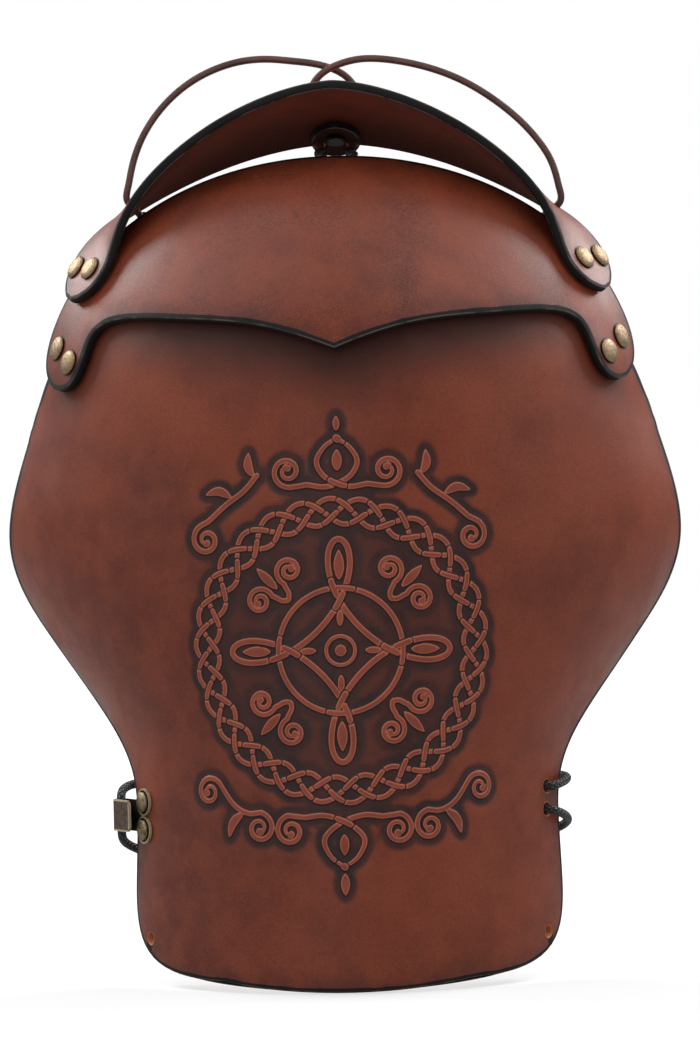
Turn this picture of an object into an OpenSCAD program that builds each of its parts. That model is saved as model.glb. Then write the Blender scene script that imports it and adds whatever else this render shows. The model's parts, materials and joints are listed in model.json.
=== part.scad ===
// Leather pauldron: an embossed arm plate, two riveted shoulder lames, a neck lace and an elastic arm cord.
// Millimetres. X runs across the piece, +Y points in towards the wearer, +Z up.
// The origin is on the inner face of the arm plate, in the middle of its widest part.

/* [Leather] */
// Thickness of the three plates
leather = 4; // [3.5:0.25:4.5]
// Space between two plates where one lies over the other
gap = 0.9; // [0.7:0.1:1.2]
// Thickness of the small tab at the neck
tab_leather = 3; // [2:0.5:3.5]

/* [Body form] */
// Radius of the shoulder ball, to the outer face of the arm plate
ball_r = 146; // [144:1:150]
// Height of the middle of the shoulder ball
ball_z = 40; // [38:1:42]
// Radius round the arm plate at its widest
hip_r = 165; // [162:1:170]
// Radius round the arm plate at its lower end
arm_r = 104; // [103:1:108]
// How far the V of the middle lame stands off the arm plate
flare = 3; // [1:0.5:4]

/* [Rivets] */
// Diameter of a rivet cap
cap_d = 11; // [10:0.5:11.5]
// Height of a rivet cap
cap_h = 2.2; // [1.8:0.1:2.6]
// Diameter of a rivet post
post_d = 3.2; // [2.8:0.1:3.4]
// Diameter of the hole in the leather that moves with the rivet
snug_hole_d = 3.6; // [3.5:0.1:4]
// Diameter of the hole in the leather that the rivet can tilt in
loose_hole_d = 5; // [4.6:0.1:5.4]

/* [Cords] */
// Diameter of the elastic arm cord
elastic_d = 4; // [3.5:0.25:4]
// Diameter of the holes for the elastic arm cord
elastic_hole_d = 5.4; // [5:0.1:6]
// Diameter of the neck lace
lace_d = 3.2; // [2.8:0.1:3.4]
// Diameter of the holes for the neck lace
lace_hole_d = 4.2; // [4:0.1:4.6]
// Diameter of the two lacing holes at the lower corners
corner_hole_d = 5; // [4:0.5:6]

/* [Hook] */
// Thickness of the hook's brass sheet
brass = 1.2; // [1:0.1:1.4]
// Width of the hook's leaf
leaf_w = 14; // [12:1:15]
// Reach of the hook from its rivets to its bend
leaf_reach = 17; // [15:0.5:17.5]

/* [Hidden] */
$fn = 48;

leather_red = "#7a3320";
leather_dark = "#4a2117";
aged_brass = "#8a744c";
cord_black = "#1c1b1b";
lace_brown = "#5b3a30";

// The middle of the shoulder ball is straight behind the arm plate.
ball_y = ball_r - leather;
// The arm plate widens upwards from one height, over a distance, and narrows to the ball from another.
widen_from = -110;
widen_over = 110;
narrow_from = 0;
narrow_over = 62;
// Faces of the plates, measured out from the outer face of the arm plate.
middle_out = gap + leather;
top_out = 2 * (gap + leather);
// A rivet's tail stays this far from leather that moves against it.
tail_gap = 0.7;
// A rivet's cap stays this far from the leather it is set on.
seat_gap = 0.15;
// How far a post reaches up into its cap, and the space round it there.
post_reach = 1;
post_play = 0.1;
// Thickness of a rivet's tail.
tail_h = 1.3;
// How much less a tail's radius is than its cap's.
tail_inset = 1;
// Leather under the cap of a rivet that joins two plates.
two_plates = 2 * leather + gap + tail_gap;

// Outline of one half of the arm plate: half width, then height along the middle line.
arm_outline = [
    [54, -197.5], [76, -196.5], [91, -189], [95.5, -173], [95, -155], [94, -135], [93.5, -113],
    [101, -94], [118.5, -71], [133.5, -50], [147.5, -30], [154.5, -8], [151.5, 14], [145, 35],
    [139.5, 55], [139, 75], [138, 95], [134, 112], [128, 125], [116, 133], [98, 136]
];
// How much lower the lower edge is in the middle, and how much lower the upper edge is.
lower_bow = 4;
upper_dip = 16;

// Front and neck edges of one half of each lame, from the middle to the tab's end.
// Each point is the angle round the shoulder, the angle over it, and the height off the ball.
middle_front = [
    [0, 13.5, 0], [6, 16, 0], [13, 18.5, 0], [21, 20.5, 0], [29, 22.7, 0], [37, 25.9, 0], [43, 28.1, 0],
    [46.4, 27, 0], [48, 23.3, 0], [49.6, 19.2, 0], [51.6, 15.9, 0], [54.2, 14.7, 0], [56.2, 15.4, 0]
];
middle_neck = [
    [0, 55.6, 0], [7, 55.7, 0], [15, 55.8, 0], [24, 55.9, 0], [33, 55.6, 0], [42, 55, 0], [50, 52.2, 0],
    [56, 46.6, 0], [60.2, 39.5, 0], [61.8, 32, 0], [61.5, 25.3, 0], [60, 19.9, 0], [58.3, 17.2, 0]
];
top_front = [
    [0, 54.4, 35.2], [4, 54.2, 34.5], [13, 53.8, 28.3], [23, 52.9, 19.8], [31.5, 51.3, 12.3],
    [37, 48.3, 6], [39.8, 44, 1.2], [41.4, 40.3, 0], [44, 37.7, 0], [47.5, 37.2, 0], [50.4, 39.2, 0]
];
top_neck = [
    [0, 72.8, -13.3], [8, 72.5, -13.8], [18, 70.3, -13], [28, 66.7, -10.2], [35.6, 63, -6],
    [41, 60.5, -2.2], [45.2, 59.2, -0.5], [48.9, 57.2, 0], [51.5, 53, 0], [52.5, 47.6, 0], [51.8, 42.4, 0]
];
// Share of the middle lame's width that stands off the arm plate, and the angle where this ends.
flare_share = 0.4;
flare_angle = 42;

// Places on the shoulder: angle round it, angle over it, and for a lace hole the space over its knot.
middle_rivets = [[52.7, 22.4], [56.6, 30.2]];
top_rivets = [[45, 44.2], [48.9, 49.8]];
lace_side_holes = [[-37, 59.6, 2.9], [39.6, 57.8, 1.2]];
// Places on the arm: angle round it, height.
hook_at = [59, -127];
hook_rivet_step = 12.4;
hook_cap_d = 9;
lobe_d = 12;
// Where the hook's leaf begins, out from the middle of its rivets, and the radius of its corners.
leaf_start = 2.8;
leaf_corner = 2.5;
// Radius of the hook's bend inside, with room for the elastic, and height of its middle.
bend_r = (elastic_d + 0.6) / 2;
bend_z = seat_gap + brass + bend_r;
// Height of the underside of the hook's rivet caps.
hook_head = seat_gap + brass + 0.1;
elastic_holes = [[58.2, -117], [58, -127.2]];
corner_hole = [57.8, -181];
// Half the space between the two lace holes at the neck.
neck_hole_x = 7.7;
// Distance across the neck edge that counts as one whole half of the top lame near its middle.
neck_reach = 190;
// Shares of the top lame's width, from its front edge, where the neck tab begins and ends.
tab_span = [0.68, 1.07];
// Half width of the neck tab, and its space to the lame.
tab_half_w = 11.4;
tab_end_half_w = 0.6;
tab_gap = 0.2;
// How square the tab is: 2 makes it oval, and more makes its corners fuller.
tab_roundness = 2.4;
// Shares of the top lame's width, from its front edge, where the neck rivet and holes are.
neck_rivet_share = 0.84;
neck_hole_share = 0.93;

// Knots at the ends of the elastic and of the lace, and their space to the leather.
elastic_knot_d = 9;
lace_knot_d = 6.4;
knot_gap = 0.4;

// Routes of the cords, hand placed.
elastic_route = [
    [80.8, 49.9, -117], [85, 47.3, -117], [88.3, 45.2, -117], [90, 44.2, -117], [92.1, 45.4, -116.7],
    [94.9, 48.8, -115.9], [97, 52.8, -115], [97.9, 57.4, -114.1], [96.6, 62, -113.4],
    [91.2, 64.6, -113], [80, 64.2, -113], [60, 63.8, -113], [36, 63.8, -113], [12, 63.8, -113],
    [-12, 63.8, -113], [-36, 63.8, -113], [-60, 64, -113], [-80, 65, -113], [-90, 66.2, -113.2],
    [-96, 66.4, -113.8], [-99.6, 64.4, -115.2], [-101, 61.4, -117], [-101, 59.1, -119.2],
    [-101, 59.1, -122], [-101, 59.1, -127], [-101, 59.1, -132], [-101, 59.1, -135.6], [-100.9, 60.9, -138],
    [-99.4, 63.6, -140.4], [-95.6, 66, -142.6], [-90, 66.6, -145], [-80, 65.4, -146.6], [-60, 64, -146.6],
    [-36, 63.8, -145.4], [-12, 63.8, -144.2], [12, 63.8, -143], [36, 63.8, -141.8], [60, 63.8, -140.6],
    [80, 64.2, -139.4], [90.4, 64.2, -138], [95.6, 61.8, -135.6], [97.9, 57.4, -133.2],
    [97.2, 52.6, -131], [94.9, 48.2, -129.2], [92.2, 44.9, -128], [90, 43.9, -127.2], [88.1, 45, -127.2],
    [84.8, 47, -127.2], [80.6, 49.6, -127.2]
];
lace_route_right = [
    [94.1, 81.2, 136.5], [96.6, 79.6, 138.9], [99.2, 78, 141.5], [100.8, 77, 143.1], [101.1, 76.3, 146],
    [99.9, 76.2, 150], [98.9, 76.4, 155.3], [96.3, 76.6, 163.5], [90, 76.8, 172.6], [82, 76.9, 181.4],
    [71.6, 77, 189.9], [60.5, 77.8, 197.3], [48.7, 78.8, 202.9], [36, 79.8, 206.9], [23.8, 80.7, 209.3],
    [13.2, 81.6, 210.1], [4.5, 82.8, 208.6], [-3, 84, 205.8], [-8.8, 86, 201.5], [-11.8, 89.5, 195],
    [-11.4, 94, 189], [-9.4, 97.4, 185], [-8.4, 97.7, 182], [-8.2, 96.7, 179.9], [-8, 95.6, 177.7],
    [-7.6, 93.8, 174.1], [-7.3, 92.4, 171.3], [-7, 90.8, 168.1]
];
lace_route_left = [
    [-88.2, 82.7, 141], [-90.5, 81.2, 143.6], [-93, 79.6, 146.3], [-94.5, 78.6, 148], [-94.5, 77.9, 151],
    [-93.3, 77.8, 155], [-92.4, 78, 160], [-90.8, 78.4, 166.8], [-87.6, 78.8, 175.3],
    [-82.8, 79.4, 183.5], [-76.2, 80.2, 191.8], [-67, 81.2, 199.9], [-55.6, 82.4, 206.3],
    [-42.6, 83.6, 210.4], [-30, 84.6, 211.2], [-19.6, 85.6, 209.9], [-9.5, 86.6, 208.9], [-1, 88, 206.6],
    [5.4, 89.4, 203.2], [9.4, 91.2, 198.2], [11, 93.4, 192], [10.6, 96.4, 187], [9, 98, 183.4],
    [8.4, 97.7, 182], [8.2, 96.7, 179.9], [8, 95.6, 177.7], [7.6, 93.8, 174.1], [7.3, 92.4, 171.3],
    [7, 90.8, 168.1]
];

// Steps of the curved surfaces.
arm_columns = 36;
arm_rows = 46;
lame_columns = 52;
lame_rows = 9;
tab_columns = 10;
tab_rows = 12;
// Rings of each cord, and the sides of a ring.
elastic_rings = 80;
lace_rings = 60;
cord_sides = 8;

function eased(t) = let (c = max(0, min(1, t))) c * c * (3 - 2 * c);

// A smooth curve along a list of points, at t from 0 to 1.
function along(points, t) =
    let (
        last = len(points) - 1,
        before = 2 * points[0] - points[1],
        after = 2 * points[last] - points[last - 1],
        padded = concat([before], points, [after]),
        k = min(floor(t * last), last - 1),
        f = t * last - k
    )
    (pow(1 - f, 3) * padded[k]
        + (3 * pow(f, 3) - 6 * f * f + 4) * padded[k + 1]
        + (-3 * pow(f, 3) + 3 * f * f + 3 * f + 1) * padded[k + 2]
        + pow(f, 3) * padded[k + 3]) / 6;

function unit(v) = v / norm(v);

// Radius round the arm and shoulder at a height.
function girth(z) =
    arm_r
        + (hip_r - arm_r) * eased((z - widen_from) / widen_over)
        - (hip_r - ball_r) * eased((z - narrow_from) / narrow_over);

// Angle over the shoulder at a height along the middle line.
function over(s) = max(s - ball_z, 0) / ball_r * 180 / PI;

// A point of the body form: angle round it, height along its middle line, distance outside it.
function form(phi, s, out) =
    let (
        tilt = over(s),
        y = ball_y - ball_r * cos(tilt),
        z = min(s, ball_z) + ball_r * sin(tilt),
        around = girth(min(s, ball_z) + ball_r * cos(phi) * sin(tilt)),
        back = (around + out) * cos(phi) - around
    )
    [(around + out) * sin(phi), y - back * cos(tilt), z + back * sin(tilt)];

function form_normal(phi, s) =
    let (
        e = 0.1,
        across = form(phi + e, s, 0) - form(phi - e, s, 0),
        up = form(phi, s + e, 0) - form(phi, s - e, 0)
    )
    unit(cross(across, up));

// A point of the shoulder ball: angle round it, angle over it, distance from its middle.
function ball(phi, theta, r) =
    [r * sin(phi), ball_y - r * cos(phi) * cos(theta), ball_z + r * cos(phi) * sin(theta)];

// Grids of points, a row at a time, for the outer and inner face of a sheet.
function arm_face(depth) = [
    for (j = [0 : arm_rows])
        let (
            edge = along(arm_outline, j / arm_rows),
            reach = asin(edge[0] / girth(edge[1])),
            bow = lower_bow * (1 - eased(j / arm_rows / 0.3)),
            dip = upper_dip * eased((j / arm_rows - 0.72) / 0.28)
        )
        [for (i = [0 : arm_columns])
            let (
                u = 2 * i / arm_columns - 1,
                s = edge[1] - (bow + dip) * (1 - u * u)
            )
            form(u * reach, s, 0) - depth * form_normal(u * reach, s)]
];

// A point on the outer face of a lame: u from -1 to 1 along it, v from 0 at its front edge to 1.
function lame_point(front, neck, out, lift, u, v) =
    let (
        side = u < 0 ? -1 : 1,
        p = (1 - v) * along(front, abs(u)) + v * along(neck, abs(u)),
        stand = lift * eased((flare_share - v) / flare_share) * eased((flare_angle - p[0]) / flare_angle)
    )
    ball(side * p[0], p[1], ball_r + out + p[2] + stand);

function lame_normal(front, neck, out, lift, u, v) =
    let (
        e = 0.01,
        right = lame_point(front, neck, out, lift, min(u + e, 1), v),
        left = lame_point(front, neck, out, lift, max(u - e, -1), v),
        up = lame_point(front, neck, out, lift, u, v + e),
        down = lame_point(front, neck, out, lift, u, v - e)
    )
    unit(cross(right - left, up - down));

function lame_face(front, neck, out, lift, depth) = [
    for (j = [0 : lame_rows])
        [for (i = [0 : lame_columns])
            let (u = 2 * i / lame_columns - 1, v = j / lame_rows)
            lame_point(front, neck, out, lift, u, v) - depth * lame_normal(front, neck, out, lift, u, v)]
];

// A point under the top lame near the neck: x across from the middle, v along as on the lame.
function neck_point(x, v, depth) =
    lame_point(top_front, top_neck, top_out, 0, x / neck_reach, v)
        - depth * lame_normal(top_front, top_neck, top_out, 0, x / neck_reach, v);

// Half width of the neck tab along its length, t from 0 to 1, with round ends.
function tab_half(t) =
    tab_end_half_w + (tab_half_w - tab_end_half_w) * sqrt(1 - pow(abs(2 * t - 1), tab_roundness));

function tab_face(depth) = [
    for (j = [0 : tab_rows])
        let (t = j / tab_rows, half = tab_half(t), v = tab_span[0] + (tab_span[1] - tab_span[0]) * t)
        [for (i = [0 : tab_columns]) neck_point(half * (2 * i / tab_columns - 1), v, depth)]
];

// Faces of a closed sheet between two grids of equal size.
module sheet(outer, inner) {
    rows = len(outer) - 1;
    columns = len(outer[0]) - 1;
    across = columns + 1;
    layer = across * (rows + 1);
    points = concat([for (r = outer) each r], [for (r = inner) each r]);
    function at(j, i) = j * across + i;
    outer_faces = [
        for (j = [0 : rows - 1], i = [0 : columns - 1]) each [
            [at(j, i), at(j + 1, i), at(j + 1, i + 1)],
            [at(j, i), at(j + 1, i + 1), at(j, i + 1)]
        ]
    ];
    inner_faces = [for (f = outer_faces) [f[2] + layer, f[1] + layer, f[0] + layer]];
    rim = concat(
        [for (i = [0 : columns - 1]) at(0, i)],
        [for (j = [0 : rows - 1]) at(j, columns)],
        [for (i = [columns : -1 : 1]) at(rows, i)],
        [for (j = [rows : -1 : 1]) at(j, 0)]
    );
    rim_faces = [
        for (k = [0 : len(rim) - 1])
            let (a = rim[k], b = rim[(k + 1) % len(rim)])
            each [[a, b, b + layer], [a, b + layer, a + layer]]
    ];
    polyhedron(points, concat(outer_faces, inner_faces, rim_faces), convexity = 8);
}

// A round cord along a route: the number of rings, the sides of each ring, the diameter.
module cord(route, rings, sides, d) {
    path = [for (k = [0 : rings - 1]) along(route, k / (rings - 1))];
    function heading(k) = unit(path[min(k + 1, rings - 1)] - path[max(k - 1, 0)]);
    function level(a, k) = let (h = heading(min(k, rings - 1))) unit(a - (a * h) * h);
    first = level([0.1, 0.3, 1], 0);
    sideways = [for (k = 0, a = first; k < rings; k = k + 1, a = level(a, k)) a];
    points = [
        for (k = [0 : rings - 1], m = [0 : sides - 1])
            let (turn = 360 * m / sides, b = cross(heading(k), sideways[k]))
            path[k] + d / 2 * (cos(turn) * sideways[k] + sin(turn) * b)
    ];
    walls = [
        for (k = [0 : rings - 2], m = [0 : sides - 1])
            let (n = (m + 1) % sides, a = k * sides)
            each [[a + m, a + sides + m, a + sides + n], [a + m, a + sides + n, a + n]]
    ];
    start_cap = [for (m = [1 : sides - 2]) [0, m, m + 1]];
    last = (rings - 1) * sides;
    end_cap = [for (m = [1 : sides - 2]) [last, last + m + 1, last + m]];
    polyhedron(points, concat(walls, start_cap, end_cap), convexity = 10);
}

// Sets what follows at a point with its own Z along a direction.
module facing(point, direction) {
    d = unit(direction);
    translate(point) rotate([0, acos(d[2]), atan2(d[1], d[0])]) children();
}

// Sets what follows on the shoulder ball, Z pointing out, at a distance outside the arm plate.
module on_shoulder(place, side, out) {
    at = ball(side * place[0], place[1], ball_r + out);
    facing(at, at - [0, ball_y, ball_z]) children();
}

// Sets what follows on the outer face of the arm part, Z pointing out.
module on_arm(place, side) {
    phi = side * place[0];
    facing(form(phi, place[1], 0), [sin(phi), -cos(phi), 0]) children();
}

// Sets what follows on the outer face of the top lame near the neck, Z pointing out.
module on_neck(x, v) {
    facing(neck_point(x, v, 0), neck_point(x, v, 0) - neck_point(x, v, 1)) children();
}

// A hole through everything near the origin, down to a depth.
module drill(d, depth) {
    translate([0, 0, -depth]) cylinder(d = d, h = depth + leather);
}

// The domed cap of a rivet with the socket that takes its post.
module rivet_cap(d = cap_d) {
    socket = post_d / 2 + post_play;
    socket_h = post_reach + 2 * post_play;
    rotate_extrude()
        polygon([
            [socket, 0], [d / 2 - 0.3, 0], [d / 2, 0.35], [d / 2 - 0.1, 0.8],
            [d / 2 - 0.7, cap_h * 0.63], [d / 2 - 1.8, cap_h * 0.85], [d / 4 - 0.6, cap_h * 0.97],
            [0, cap_h], [0, socket_h], [socket, socket_h]
        ]);
}

// The post of a rivet with its tail; the tail's upper face is at a depth below the origin.
module rivet_stud(depth, d = cap_d) {
    tail_r = d / 2 - tail_inset;
    rotate_extrude()
        polygon([
            [0, -depth - tail_h], [tail_r - 1, -depth - tail_h], [tail_r, -depth - tail_h / 2],
            [tail_r, -depth], [post_d / 2, -depth], [post_d / 2, post_reach], [0, post_reach]
        ]);
}

module main_plate() {
    color(leather_red)
        difference() {
            sheet(arm_face(0), arm_face(leather));
            for (side = [-1, 1], place = middle_rivets)
                on_shoulder(place, side, 0) drill(loose_hole_d, 2 * leather);
            for (step = [-0.5, 0.5])
                on_arm([hook_at[0], hook_at[1] + step * hook_rivet_step], -1) drill(snug_hole_d, 2 * leather);
            for (place = elastic_holes)
                on_arm(place, 1) drill(elastic_hole_d, 2 * leather);
            for (side = [-1, 1])
                on_arm(corner_hole, side) drill(corner_hole_d, 2 * leather);
        }
}

module middle_lame() {
    color(leather_red)
        difference() {
            sheet(
                lame_face(middle_front, middle_neck, middle_out, flare, 0),
                lame_face(middle_front, middle_neck, middle_out, flare, leather)
            );
            for (side = [-1, 1], place = middle_rivets)
                on_shoulder(place, side, middle_out) drill(snug_hole_d, 2 * leather);
            for (side = [-1, 1], place = top_rivets)
                on_shoulder(place, side, middle_out) drill(loose_hole_d, 2 * leather);
        }
}

module top_lame() {
    color(leather_red)
        difference() {
            sheet(
                lame_face(top_front, top_neck, top_out, 0, 0),
                lame_face(top_front, top_neck, top_out, 0, leather)
            );
            for (side = [-1, 1], place = top_rivets)
                on_shoulder(place, side, top_out) drill(snug_hole_d, 2 * leather);
            for (place = lace_side_holes)
                on_shoulder(place, 1, top_out) drill(lace_hole_d, 2 * leather);
            on_neck(0, neck_rivet_share) drill(snug_hole_d, 2 * leather);
            for (side = [-1, 1])
                on_neck(side * neck_hole_x, neck_hole_share) drill(lace_hole_d, 2 * leather);
        }
}

module neck_tab() {
    color(leather_dark)
        difference() {
            sheet(tab_face(leather + tab_gap), tab_face(leather + tab_gap + tab_leather));
            on_neck(0, neck_rivet_share) drill(snug_hole_d, 4 * leather);
            for (side = [-1, 1])
                on_neck(side * neck_hole_x, neck_hole_share) drill(lace_hole_d, 4 * leather);
        }
}

module middle_cap(side, place) {
    color(aged_brass) on_shoulder(place, side, middle_out + seat_gap) rivet_cap();
}

module middle_stud(side, place) {
    color(aged_brass) on_shoulder(place, side, middle_out + seat_gap) rivet_stud(two_plates + seat_gap);
}

module top_cap(side, place) {
    color(aged_brass) on_shoulder(place, side, top_out + seat_gap) rivet_cap();
}

module top_stud(side, place) {
    color(aged_brass) on_shoulder(place, side, top_out + seat_gap) rivet_stud(two_plates + seat_gap);
}

module neck_cap() {
    color(aged_brass) on_neck(0, neck_rivet_share) translate([0, 0, seat_gap]) rivet_cap();
}

module neck_stud() {
    color(aged_brass)
        on_neck(0, neck_rivet_share)
            translate([0, 0, seat_gap]) rivet_stud(leather + tab_gap + tab_leather + tail_gap + seat_gap);
}

// The hook's own frame: X towards the plate's edge, Z out from the leather.
module at_hook() {
    on_arm(hook_at, -1) rotate([0, 0, -90]) children();
}

module hook_cap(step) {
    color(aged_brass)
        at_hook() translate([0, step * hook_rivet_step, hook_head]) rivet_cap(hook_cap_d);
}

module hook_stud(step) {
    color(aged_brass)
        at_hook()
            translate([0, step * hook_rivet_step, hook_head])
                rivet_stud(hook_head + leather + tail_gap / 2, hook_cap_d);
}

// A flat sheet with two rounded corners at its free end, from the bend back towards the rivets.
module hook_leaf() {
    inner = leaf_start + leaf_corner;
    linear_extrude(brass)
        union() {
            translate([inner, -leaf_w / 2]) square([leaf_reach - inner, leaf_w]);
            translate([leaf_start, leaf_corner - leaf_w / 2])
                square([leaf_corner + 1, leaf_w - 2 * leaf_corner]);
            for (side = [-1, 1])
                translate([inner, side * (leaf_w / 2 - leaf_corner)]) circle(leaf_corner);
        }
}

module hook() {
    color(aged_brass)
        at_hook()
            difference() {
                union() {
                    translate([0, -leaf_w / 2, seat_gap]) cube([leaf_reach, leaf_w, brass]);
                    for (step = [-0.5, 0.5])
                        translate([0, step * hook_rivet_step, seat_gap]) cylinder(d = lobe_d, h = brass);
                    translate([0, 0, bend_z + bend_r]) hook_leaf();
                    translate([leaf_reach, leaf_w / 2, bend_z])
                        rotate([90, 0, 0]) cylinder(r = bend_r + brass, h = leaf_w);
                }
                translate([leaf_reach, leaf_w, bend_z])
                    rotate([90, 0, 0]) cylinder(r = bend_r, h = 2 * leaf_w);
                translate([-leaf_reach, -leaf_w, bend_z - bend_r])
                    cube([2 * leaf_reach, 2 * leaf_w, 2 * bend_r]);
                for (step = [-0.5, 0.5])
                    translate([0, step * hook_rivet_step, -1]) cylinder(d = snug_hole_d, h = brass + 2);
            }
}

module elastic_cord() {
    color(cord_black) cord(elastic_route, elastic_rings, cord_sides, elastic_d);
}

module elastic_knot(place) {
    color(cord_black)
        on_arm(place, 1)
            translate([0, 0, -leather - elastic_knot_d / 2 - knot_gap]) sphere(d = elastic_knot_d);
}

module lace_left() {
    color(lace_brown) cord(lace_route_left, lace_rings, cord_sides, lace_d);
}

module lace_right() {
    color(lace_brown) cord(lace_route_right, lace_rings, cord_sides, lace_d);
}

module lace_knots_side() {
    color(lace_brown)
        for (place = lace_side_holes)
            on_shoulder(place, 1, top_out - leather - lace_knot_d / 2 - place[2])
                sphere(d = lace_knot_d);
}

module lace_knots_neck() {
    color(lace_brown)
        for (side = [-1, 1])
            on_neck(side * neck_hole_x, neck_hole_share)
                translate([0, 0, -leather - tab_gap - tab_leather - lace_knot_d / 2 - knot_gap])
                    sphere(d = lace_knot_d);
}

main_plate();
middle_lame();
top_lame();
neck_tab();
middle_cap(-1, middle_rivets[0]);  // middle_cap_left_low
middle_cap(-1, middle_rivets[1]);  // middle_cap_left_high
middle_cap(1, middle_rivets[0]);  // middle_cap_right_low
middle_cap(1, middle_rivets[1]);  // middle_cap_right_high
middle_stud(-1, middle_rivets[0]);  // middle_stud_left_low
middle_stud(-1, middle_rivets[1]);  // middle_stud_left_high
middle_stud(1, middle_rivets[0]);  // middle_stud_right_low
middle_stud(1, middle_rivets[1]);  // middle_stud_right_high
top_cap(-1, top_rivets[0]);  // top_cap_left_low
top_cap(-1, top_rivets[1]);  // top_cap_left_high
top_cap(1, top_rivets[0]);  // top_cap_right_low
top_cap(1, top_rivets[1]);  // top_cap_right_high
top_stud(-1, top_rivets[0]);  // top_stud_left_low
top_stud(-1, top_rivets[1]);  // top_stud_left_high
top_stud(1, top_rivets[0]);  // top_stud_right_low
top_stud(1, top_rivets[1]);  // top_stud_right_high
neck_cap();
neck_stud();
hook();
hook_cap(-0.5);  // hook_cap_upper
hook_cap(0.5);  // hook_cap_lower
hook_stud(-0.5);  // hook_stud_upper
hook_stud(0.5);  // hook_stud_lower
elastic_cord();
elastic_knot(elastic_holes[0]);  // elastic_knot_upper
elastic_knot(elastic_holes[1]);  // elastic_knot_lower
lace_left();
lace_right();
lace_knots_side();
lace_knots_neck();
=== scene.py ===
"""Looks of a leather guard for the shoulder and upper arm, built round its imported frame."""

import json
import math

import bpy
import numpy as np
from mathutils import Matrix, Vector, geometry, kdtree

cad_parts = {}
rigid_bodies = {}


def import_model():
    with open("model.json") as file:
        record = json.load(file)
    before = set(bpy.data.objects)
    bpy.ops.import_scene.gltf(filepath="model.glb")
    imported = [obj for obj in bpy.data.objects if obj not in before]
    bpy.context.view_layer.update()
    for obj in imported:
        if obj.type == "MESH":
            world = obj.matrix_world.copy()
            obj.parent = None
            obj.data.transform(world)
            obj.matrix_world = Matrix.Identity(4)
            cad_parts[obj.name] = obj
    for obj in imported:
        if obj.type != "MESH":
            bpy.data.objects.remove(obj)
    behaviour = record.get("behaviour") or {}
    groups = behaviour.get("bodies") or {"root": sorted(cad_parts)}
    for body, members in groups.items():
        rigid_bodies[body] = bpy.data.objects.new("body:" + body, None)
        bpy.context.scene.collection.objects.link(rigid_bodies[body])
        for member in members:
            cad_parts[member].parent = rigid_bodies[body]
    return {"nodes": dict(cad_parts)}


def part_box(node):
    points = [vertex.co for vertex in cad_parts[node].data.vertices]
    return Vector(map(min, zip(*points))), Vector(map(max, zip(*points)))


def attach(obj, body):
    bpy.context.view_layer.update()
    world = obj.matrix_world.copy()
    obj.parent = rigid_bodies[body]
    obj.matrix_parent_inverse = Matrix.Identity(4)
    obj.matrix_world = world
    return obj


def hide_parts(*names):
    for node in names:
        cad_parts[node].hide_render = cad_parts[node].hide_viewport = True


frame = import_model()

bl_info = {
    "name": "Leather pauldron",
    "version": (1, 0, 0),
    "blender": (4, 5, 0),
    "location": "View3D > Sidebar > Pauldron",
    "description": "Builds the leather, brass and cord surfaces of a pauldron and its stage",
    "category": "Add Mesh",
}

MM = 0.001
CAMERA_DISTANCE = 1.8

# Body form in millimetres. The part's source has the same values, apart from three points at the
# sides of ARM_OUTLINE, which are softer here.
BALL_R = 146
BALL_Z = 40
BALL_Y = 142
HIP_R = 165
ARM_R = 104
WIDEN_FROM = -110
WIDEN_OVER = 110
NARROW_FROM = 0
NARROW_OVER = 62
LEATHER = 4
TAB_LEATHER = 3
TAB_GAP = 0.2
FLARE = 3
MIDDLE_OUT = 4.9
TOP_OUT = 9.8
LOWER_BOW = 4
BOW_OVER = 0.3
UPPER_DIP = 16
DIP_FROM = 0.72
DIP_OVER = 0.28
FLARE_SHARE = 0.4
FLARE_ANGLE = 42
NECK_REACH = 190
TAB_SPAN = (0.68, 1.07)
TAB_HALF_W = 11.4
TAB_END_HALF_W = 0.6
TAB_ROUNDNESS = 2.4

# The arm plate's edge from its lower end up, as distance from the middle and height.
ARM_OUTLINE = [
    [54, -197.5], [76, -196.5], [91, -189], [95.5, -173], [95, -155], [94, -135], [93.5, -113],
    [101, -94], [118.5, -71], [133.5, -50], [147.5, -30], [154.5, -8], [151.5, 14], [145.3, 35],
    [138.4, 55], [139.4, 75], [138, 95], [134, 112], [128, 125], [116, 133], [98, 136],
]
# Front and neck edges of the plates on the shoulder from their middle to their end, as angles
# round and over the shoulder and the distance that they stand off.
MIDDLE_FRONT = [
    [0, 13.5, 0], [6, 16, 0], [13, 18.5, 0], [21, 20.5, 0], [29, 22.7, 0], [37, 25.9, 0], [43, 28.1, 0],
    [46.4, 27, 0], [48, 23.3, 0], [49.6, 19.2, 0], [51.6, 15.9, 0], [54.2, 14.7, 0], [56.2, 15.4, 0],
]
MIDDLE_NECK = [
    [0, 55.6, 0], [7, 55.7, 0], [15, 55.8, 0], [24, 55.9, 0], [33, 55.6, 0], [42, 55, 0], [50, 52.2, 0],
    [56, 46.6, 0], [60.2, 39.5, 0], [61.8, 32, 0], [61.5, 25.3, 0], [60, 19.9, 0], [58.3, 17.2, 0],
]
TOP_FRONT = [
    [0, 54.4, 35.2], [4, 54.2, 34.5], [13, 53.8, 28.3], [23, 52.9, 19.8], [31.5, 51.3, 12.3],
    [37, 48.3, 6], [39.8, 44, 1.2], [41.4, 40.3, 0], [44, 37.7, 0], [47.5, 37.2, 0], [50.4, 39.2, 0],
]
TOP_NECK = [
    [0, 72.8, -13.3], [8, 72.5, -13.8], [18, 70.3, -13], [28, 66.7, -10.2], [35.6, 63, -6],
    [41, 60.5, -2.2], [45.2, 59.2, -0.5], [48.9, 57.2, 0], [51.5, 53, 0], [52.5, 47.6, 0],
    [51.8, 42.4, 0],
]
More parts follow.
